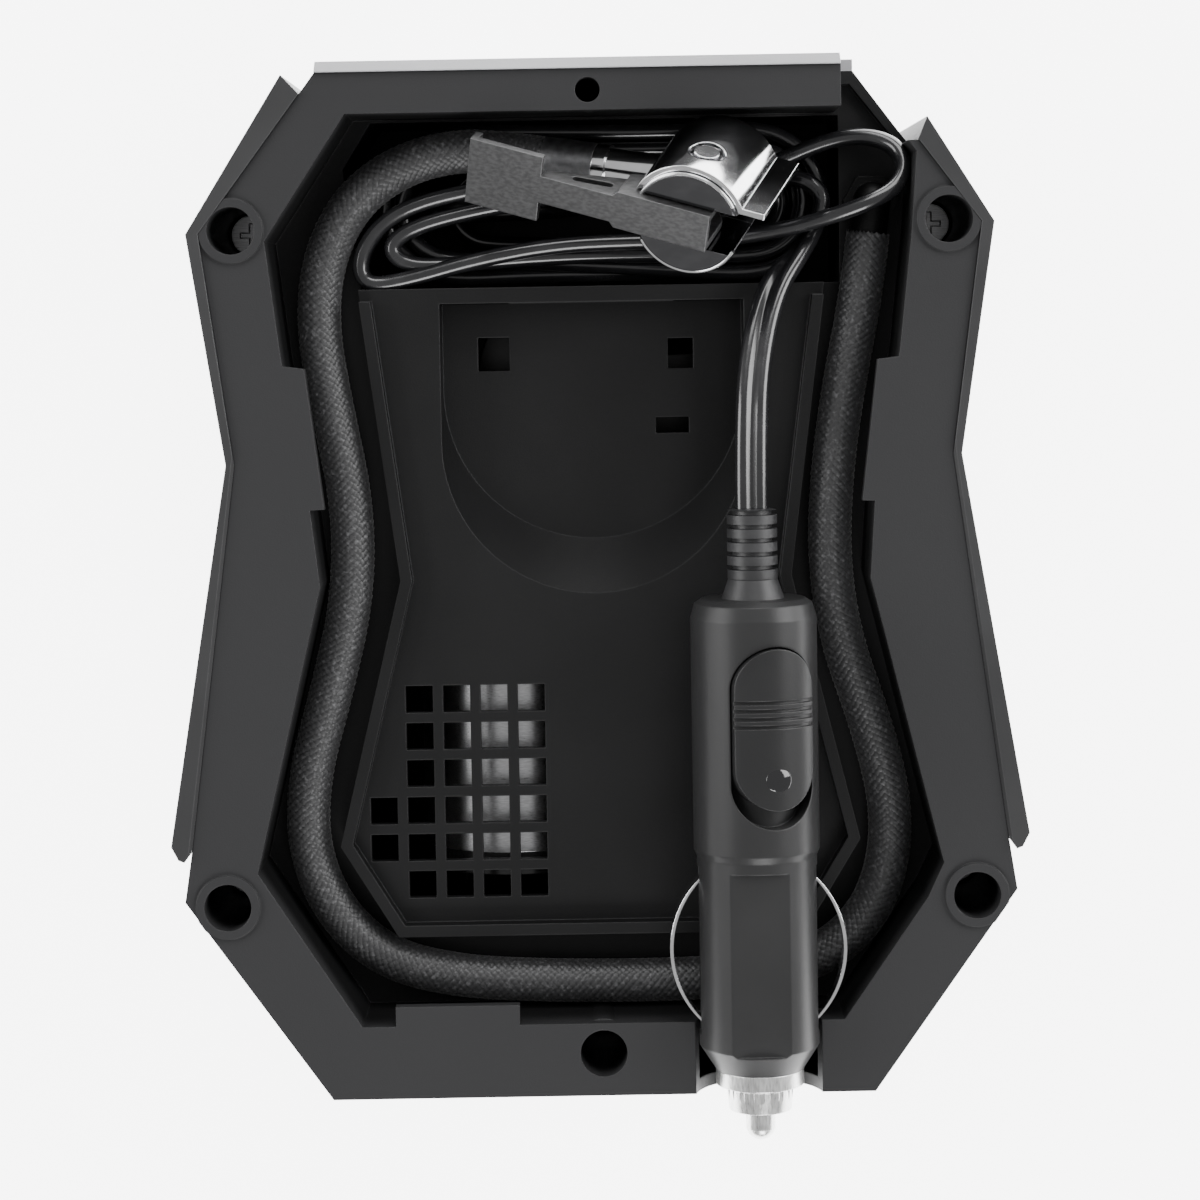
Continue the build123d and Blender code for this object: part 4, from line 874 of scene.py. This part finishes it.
@dataclass
class TwinLead:
    """Flat twin-core lead, folded in the top bay, that ends in the vehicle plug."""

    core_radius: float = 0.0014
    left_end: float = -23.7
    right_end: float = 28.1
    middle: float = 64.5
    length: float = 2.05
    #: radius and height of each turn in the bay, in the order that they are wound
    turns: tuple[tuple[float, float], ...] = (
        (6.4, 27.2), (9.4, 27.2), (12.4, 27.2), (12.4, 32.8), (9.4, 32.8), (6.4, 32.8),
        (9.4, 38.4), (12.4, 38.4), (12.4, 44.0), (9.4, 44.0),
    )
    #: out of the grommet and over to the first turn
    rise: tuple[Point, ...] = (
        (-30, 64.5, 24.2), (-30, 64.5, 29), (-29.6, 64.5, 33.5), (-26.5, 64.5, 37),
        (-20, 64.5, 38.2), (-10, 64.6, 36.4), (0, 65.2, 33), (10, 67, 29.6),
        (17, 69.6, 27.6),
    )
    #: loose loops on top, and the way to the plug
    loops: tuple[Point, ...] = (
        (16, 55.2, 45.2), (2, 55.4, 47.6), (-12, 55, 49.4), (-24, 54, 49.8),
        (-32, 54, 50.2), (-35.2, 57, 50.4), (-32, 60.2, 50.2), (-24, 62.6, 49.8),
        (-12, 64.8, 49.0), (0, 66.6, 48.2), (12, 67.6, 47.4), (24, 68.8, 47.2),
        (33, 71, 48.2), (40, 74, 50.2), (47, 75.4, 51.8), (52.6, 73.6, 53.6),
        (54.4, 69.6, 55.8), (52.4, 65.6, 58.2), (47, 63, 59.2), (41, 61, 57.6),
        (33, 59, 54.2), (22, 57.6, 51.6), (8, 57.6, 50.8), (-6, 57.2, 50.8),
        (-20, 54.8, 51.0), (-31, 51.8, 51.2), (-38, 50.6, 51.1), (-40.2, 52.8, 51),
        (-39.4, 57.2, 51), (-36, 61.6, 50.8), (-30, 64.8, 50.4), (-20, 67.0, 49.8),
        (-8, 69.0, 48.8), (4, 70, 46), (14, 69.6, 42.4), (24, 69.0, 41.6),
        (31, 68.6, 45.2), (37, 68.2, 49.6), (40.6, 65.4, 50.4), (40, 61.6, 50.6),
        (38.4, 58.4, 52), (35.8, 54.8, 54.8), (30.6, 48.8, 59.4), (27.6, 37.5, 64),
        (26.5, 24.5, 68), (26.5, 11.9, 68),
    )
    swell: float = 1.035

    def turn_points(self, first: tuple[float, float], then: tuple[float, float]) -> list[Point]:
        """One turn, from the right end round to the run back to it.

        Args:
            first: radius and height round the right end.
            then: radius and height round the left end and on the way back.

        Returns:
            Nineteen control points, in millimetres.
        """
        points: list[Point] = []
        (r, z), (r2, z2) = first, then
        for step in range(7):
            angle = math.radians(90 - 30 * step)
            reach = r * self.swell
            points.append(
                (
                    self.right_end + reach * math.cos(angle),
                    self.middle + reach * math.sin(angle),
                    z,
                )
            )
        points.append((self.right_end - 14, self.middle - r * 0.8 - r2 * 0.2, z * 0.8 + z2 * 0.2))
        points.append((2.2, self.middle - (r + r2) / 2, (z + z2) / 2))
        left = self.left_end if r2 > 7 else self.left_end + 5.7
        points.append((left + 12, self.middle - r * 0.2 - r2 * 0.8, z * 0.2 + z2 * 0.8))
        for step in range(7):
            angle = math.radians(-90 - 30 * step)
            reach = r2 * self.swell
            points.append(
                (
                    left + reach * math.cos(angle),
                    self.middle + reach * math.sin(angle),
                    z2,
                )
            )
        points.append((left + 14, self.middle + r2 + 0.2, z2))
        points.append((self.right_end - 14, self.middle + r2 - 0.2, z2))
        return points

    def half_turn(self, last: tuple[float, float]) -> list[Point]:
        """The last way round the right end, before the loose loops.

        Args:
            last: its radius and height.

        Returns:
            Seven control points, in millimetres.
        """
        return self.turn_points(last, last)[:7]

    def full_route(self) -> tuple[list[Point], list[Point]]:
        """The lead's control points and the way that its width lies at each.

        Returns:
            The points, and as many width directions.
        """
        route = list(self.rise)
        width: list[Point] = [(0, 1, 0)] * 5 + [(0, 0.8, 0.4), (0, 0.6, 0.8)] + [(0, 0, 1)] * 2
        for first, then in zip(self.turns, self.turns[1:]):
            route += self.turn_points(first, then)
        route += self.half_turn(self.turns[-1])
        route += self.loops
        width += [(0, 0, 1)] * (len(route) - len(width) - 6)
        width += [
            (0.25, 0.15, 0.95), (0.6, 0.2, 0.7), (0.9, -0.1, 0.3),
            (1, -0.1, 0), (1, 0, 0), (1, 0, 0),
        ]
        return route, width

    def section(self) -> np.ndarray:
        """Outline of the two joined cores.

        Returns:
            Width and thickness of each point round the outline.
        """
        turn = np.radians(np.linspace(-145, 145, 11))
        right = np.stack(
            [self.core_radius * (1 + np.cos(turn)), self.core_radius * np.sin(turn)], axis=1
        )
        return np.concatenate([right, -right])

    def build(self) -> bpy.types.Object:
        """Builds the lead from the grommet to the plug.

        Returns:
            The lead.
        """
        route, width = self.full_route()
        rail = [
            tuple(np.array(p) + np.array(w) / np.linalg.norm(w)) for p, w in zip(route, width)
        ]
        line = spline_line("lead_line", route, 7)
        beside = spline_line("lead_rail", rail, 7)
        ahead = tangents(line)
        wide = beside - line
        wide = unit(wide - ahead * np.sum(wide * ahead, axis=1, keepdims=True))
        thick = np.cross(ahead, wide)
        outline = self.section()
        rings = (
            line[:, None, :]
            + outline[None, :, 0:1] * wide[:, None, :]
            + outline[None, :, 1:2] * thick[:, None, :]
        )
        faces = list(grid_faces(len(line), len(outline), 0, True))
        lead = mesh_piece("twin_lead", rings.reshape(-1, 3), faces, Looks.LEAD)
        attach(lead, HOUSING)
        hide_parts("power_cord", "cord_hank")
        log.info("twin_lead: %.3f m on its line", line_length(line))
        return lead


# ---- housing, gauge, pump and plug ----------------------------------------------------------


@dataclass
class Case:
    """Rear cover, front housing, side and top panels, with their screws."""

    def dress(self) -> None:
        """Gives the case its plastics; the top and side panels carry painted light."""
        Looks.COVER.put_on("rear_cover")
        Looks.FRONT.put_on("front_housing")
        Looks.PANEL.put_on("left_side_panel", "right_side_panel")
        Looks.TOP.put_on("top_panel")
        Looks.ZINC.put_on("cover_screws")
        Looks.RELIEF.put_on("cord_grommet")


@dataclass
class Pump:
    """Motor, gears, crank, piston and cylinder."""

    def dress(self) -> None:
        """Gives the works their metals."""
        Looks.ZINC.put_on(
            "motor_can", "motor_shaft", "crank_pin", "gear_axle", "gear_frame",
            "frame_screws", "wrist_pin", "head_screws", "valve_spring",
        )
        Looks.IRON.put_on("motor_magnets", "motor_rotor")
        Looks.SWITCH.put_on("motor_end_cap")
        Looks.BRASS.put_on("motor_bushes", "motor_pinion")
        Looks.NYLON.put_on("drive_gear", "piston_ring")
        Looks.CAST.put_on("connecting_rod", "piston", "cylinder", "cylinder_head")
        Looks.RUBBER.put_on("outlet_valve", "outlet_tube", "gauge_tube")
        Looks.ELBOW.put_on("hose_elbow")


@dataclass
class Gauge:
    """Pressure gauge in the front face, with a plain numbered dial."""

    start_angle: float = -45.0
    sweep: float = 270.0
    top_value: int = 100
    step_value: int = 20
    number_height: float = 0.0030

    def dress(self) -> None:
        """Gives the gauge its finishes."""
        Looks.SWITCH.put_on("gauge_case")
        Looks.CARD.put_on("gauge_dial")
        Looks.GLASS.put_on("gauge_lens")
        Looks.CHROME.put_on("gauge_bezel")
        Looks.NEEDLE.put_on("gauge_needle")
        Looks.BRASS.put_on("gauge_movement", "bourdon_tube")

    def build(self) -> None:
        """Prints the scale and its numbers on the dial."""
        low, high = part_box("gauge_dial")
        x, y = (low[0] + high[0]) / 2, (low[1] + high[1]) / 2
        z = low[2] - 0.00004
        outer = (high[0] - low[0]) / 2 - 0.0012
        points: list[Point] = []
        faces: list[list[int]] = []
        for value in range(0, self.top_value + 1, 2):
            major = value % self.step_value == 0
            middle = value % 10 == 0
            inner = outer - (0.0026 if major else 0.0020 if middle else 0.0012)
            half = 0.00022 if major else 0.00012
            angle = math.radians(self.start_angle + self.sweep * value / self.top_value)
            out = np.array((math.cos(angle), math.sin(angle)))
            side = np.array((-out[1], out[0]))
            start = len(points)
            for reach, shift in ((inner, -half), (inner, half), (outer, half), (outer, -half)):
                p = np.array((x, y)) + reach * out + shift * side
                points.append((p[0], p[1], z))
            faces.append([start, start + 1, start + 2, start + 3])
        marks = mesh_piece("dial_marks", np.array(points), faces, Looks.INK)
        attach(marks, HOUSING)
        for value in range(0, self.top_value + 1, self.step_value):
            self.add_number(value, (x, y, z), outer - 0.0050)
        log.info("gauge: dial marked 0 to %d", self.top_value)

    def add_number(self, value: int, centre: Point, reach: float) -> None:
        """Prints one number on the dial.

        Args:
            value: the number.
            centre: the dial's middle.
            reach: how far from it the number stands.
        """
        angle = math.radians(self.start_angle + self.sweep * value / self.top_value)
        text = bpy.data.curves.new(f"dial_number_{value}", "FONT")
        text.body = str(value)
        text.size = self.number_height
        text.align_x = "CENTER"
        text.align_y = "CENTER"
        text.materials.append(Looks.INK.value.material())
        piece = bpy.data.objects.new(f"dial_number_{value}", text)
        bpy.context.scene.collection.objects.link(piece)
        piece.location = (
            centre[0] + reach * math.cos(angle),
            centre[1] + reach * math.sin(angle),
            centre[2],
        )
        piece.rotation_euler = (0.0, math.pi, 0.0)
        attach(piece, HOUSING)


@dataclass
class RockerSwitch:
    """Rocker switch beside the gauge."""

    def dress(self) -> None:
        """Gives the switch its plastics."""
        Looks.SWITCH.put_on("rocker_switch_body")
        Looks.ROCKER.put_on("rocker_button")


@dataclass
class Chuck:
    """Thumb-lock chuck on the end of the hose; its barrel is painted dark for the surroundings it
    reflects, and a bright bead round its near face stands in for the rim highlight.
    """

    near: Point = (16.0, 59.8, 73.5)
    outward: Point = (-0.34, -0.46, 0.82)
    stem: str = "hose_crimp"
    radius: float = 9.0
    bead: float = 0.34
    sunk: float = 0.3
    gap: float = 27.0
    steps: int = 40
    around: int = 8

    def build(self) -> bpy.types.Object:
        """Builds the bead, a bright stand-in for the highlight on the barrel's rim, as two arcs,
        open where the lever's slot crosses them.

        Returns:
            The bead.
        """
        centre = np.array(self.near) * MM
        out = unit(np.array(self.outward))
        low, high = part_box(self.stem)
        along = np.array([(a + b) / 2 for a, b in zip(low, high)]) - centre
        along = unit(along - out * np.dot(along, out))
        across = np.cross(out, along)
        turn = np.linspace(0, 2 * math.pi, self.around, endpoint=False)
        half = 90.0 - self.gap
        points: list[np.ndarray] = []
        faces: list[np.ndarray] = []
        for middle in (90.0, 270.0):
            start = self.around * self.steps * len(points)
            sweep = np.radians(np.linspace(middle - half, middle + half, self.steps))
            spoke = np.cos(sweep)[:, None] * along + np.sin(sweep)[:, None] * across
            ring = centre - out * self.sunk * MM + self.radius * MM * spoke
            rows = ring[:, None, :] + self.bead * MM * (
                np.cos(turn)[None, :, None] * spoke[:, None, :]
                + np.sin(turn)[None, :, None] * out[None, None, :]
            )
            faces.append(grid_faces(self.steps, self.around, start, True))
            points.append(rows.reshape(-1, 3))
        # painted highlight: a bright chrome bead where the barrel's rim shows its highlight
        bead = mesh_piece(
            "chuck_rim_highlight_bead", np.concatenate(points), np.concatenate(faces), Looks.CHROME
        )
        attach(bead, HOUSING)
        return bead

    def dress(self) -> None:
        """Gives the chuck its plating."""
        # painted reflection: the barrel is painted dark for the dark surroundings it reflects
        Looks.DARK_CHROME.put_on("chuck_body")
        Looks.CHROME.put_on("chuck_saddle", "chuck_pin", "hose_ferrule")
        Looks.LEVER.put_on("chuck_lever")
        Looks.RUBBER.put_on("valve_seal")
        Looks.BRASS.put_on("valve_depressor")
        Looks.CRIMP.put_on("hose_crimp")


@dataclass
class VehiclePlug:
    """12 V plug with its slider, side springs, nut and tip."""

    axis_x: float = 0.0265
    axis_z: float = 0.068
    roll: float = 17.0
    lens_radius: float = 0.0023
    lens_height: float = 0.0005
    lens_sunk: float = 0.0003
    lens_share: float = 0.19
    rings: int = 9
    around: int = 28

    def build(self) -> None:
        """Builds the round lens over the lamp in the slider."""
        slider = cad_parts["plug_slider"]
        low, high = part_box("plug_slider")
        roll = math.radians(self.roll)
        out = np.array((math.sin(roll), 0.0, math.cos(roll)))
        side = np.array((math.cos(roll), 0.0, -math.sin(roll)))
        axis = np.array((self.axis_x, low[1] + self.lens_share * (high[1] - low[1]), self.axis_z))
        spots = np.array([slider.matrix_world @ v.co for v in slider.data.vertices])
        reach = float(((spots - axis) @ out).max())
        points: list[np.ndarray] = []
        for angle in np.radians(np.linspace(0, 90, self.rings)):
            for turn in np.linspace(0, 2 * math.pi, self.around, endpoint=False):
                radius = self.lens_radius * math.cos(angle)
                spoke = radius * (math.cos(turn) * side + math.sin(turn) * np.array((0, 1, 0)))
                height = reach - self.lens_sunk + self.lens_height * math.sin(angle)
                points.append(axis + spoke + height * out)
        faces = grid_faces(self.rings, self.around, 0, True)
        lens = mesh_piece("slider_lens", np.array(points), faces, Looks.LENS)
        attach(lens, "slider")

    def dress(self) -> None:
        """Gives the plug its finishes."""
        Looks.PLUG.put_on("plug_body")
        Looks.SLIDER.put_on("plug_slider")
        Looks.NICKEL.put_on("plug_nut", "plug_tip")
        Looks.CHROME.put_on("plug_springs")
        Looks.ZINC.put_on("tip_spring")
        Looks.GLASS.put_on("plug_fuse")
        Looks.RELIEF.put_on("plug_strain_relief")


def corners(box: tuple[Vector, Vector]) -> list[list[float]]:
    """A box as plain numbers."""
    return [list(map(float, corner)) for corner in box]


def main() -> None:
    """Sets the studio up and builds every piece."""
    logging.basicConfig(level=logging.INFO, format="%(name)s: %(message)s")
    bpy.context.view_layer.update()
    studio = Studio()
    studio.set_camera()
    chuck = Chuck()
    BraidedHose().build(chuck.build())
    plug = VehiclePlug()
    plug.build()
    TwinLead().build()
    studio.set_floor()
    studio.set_lights()
    Case().dress()
    Pump().dress()
    gauge = Gauge()
    gauge.dress()
    gauge.build()
    RockerSwitch().dress()
    chuck.dress()
    plug.dress()


if __name__ == "__main__":
    main()
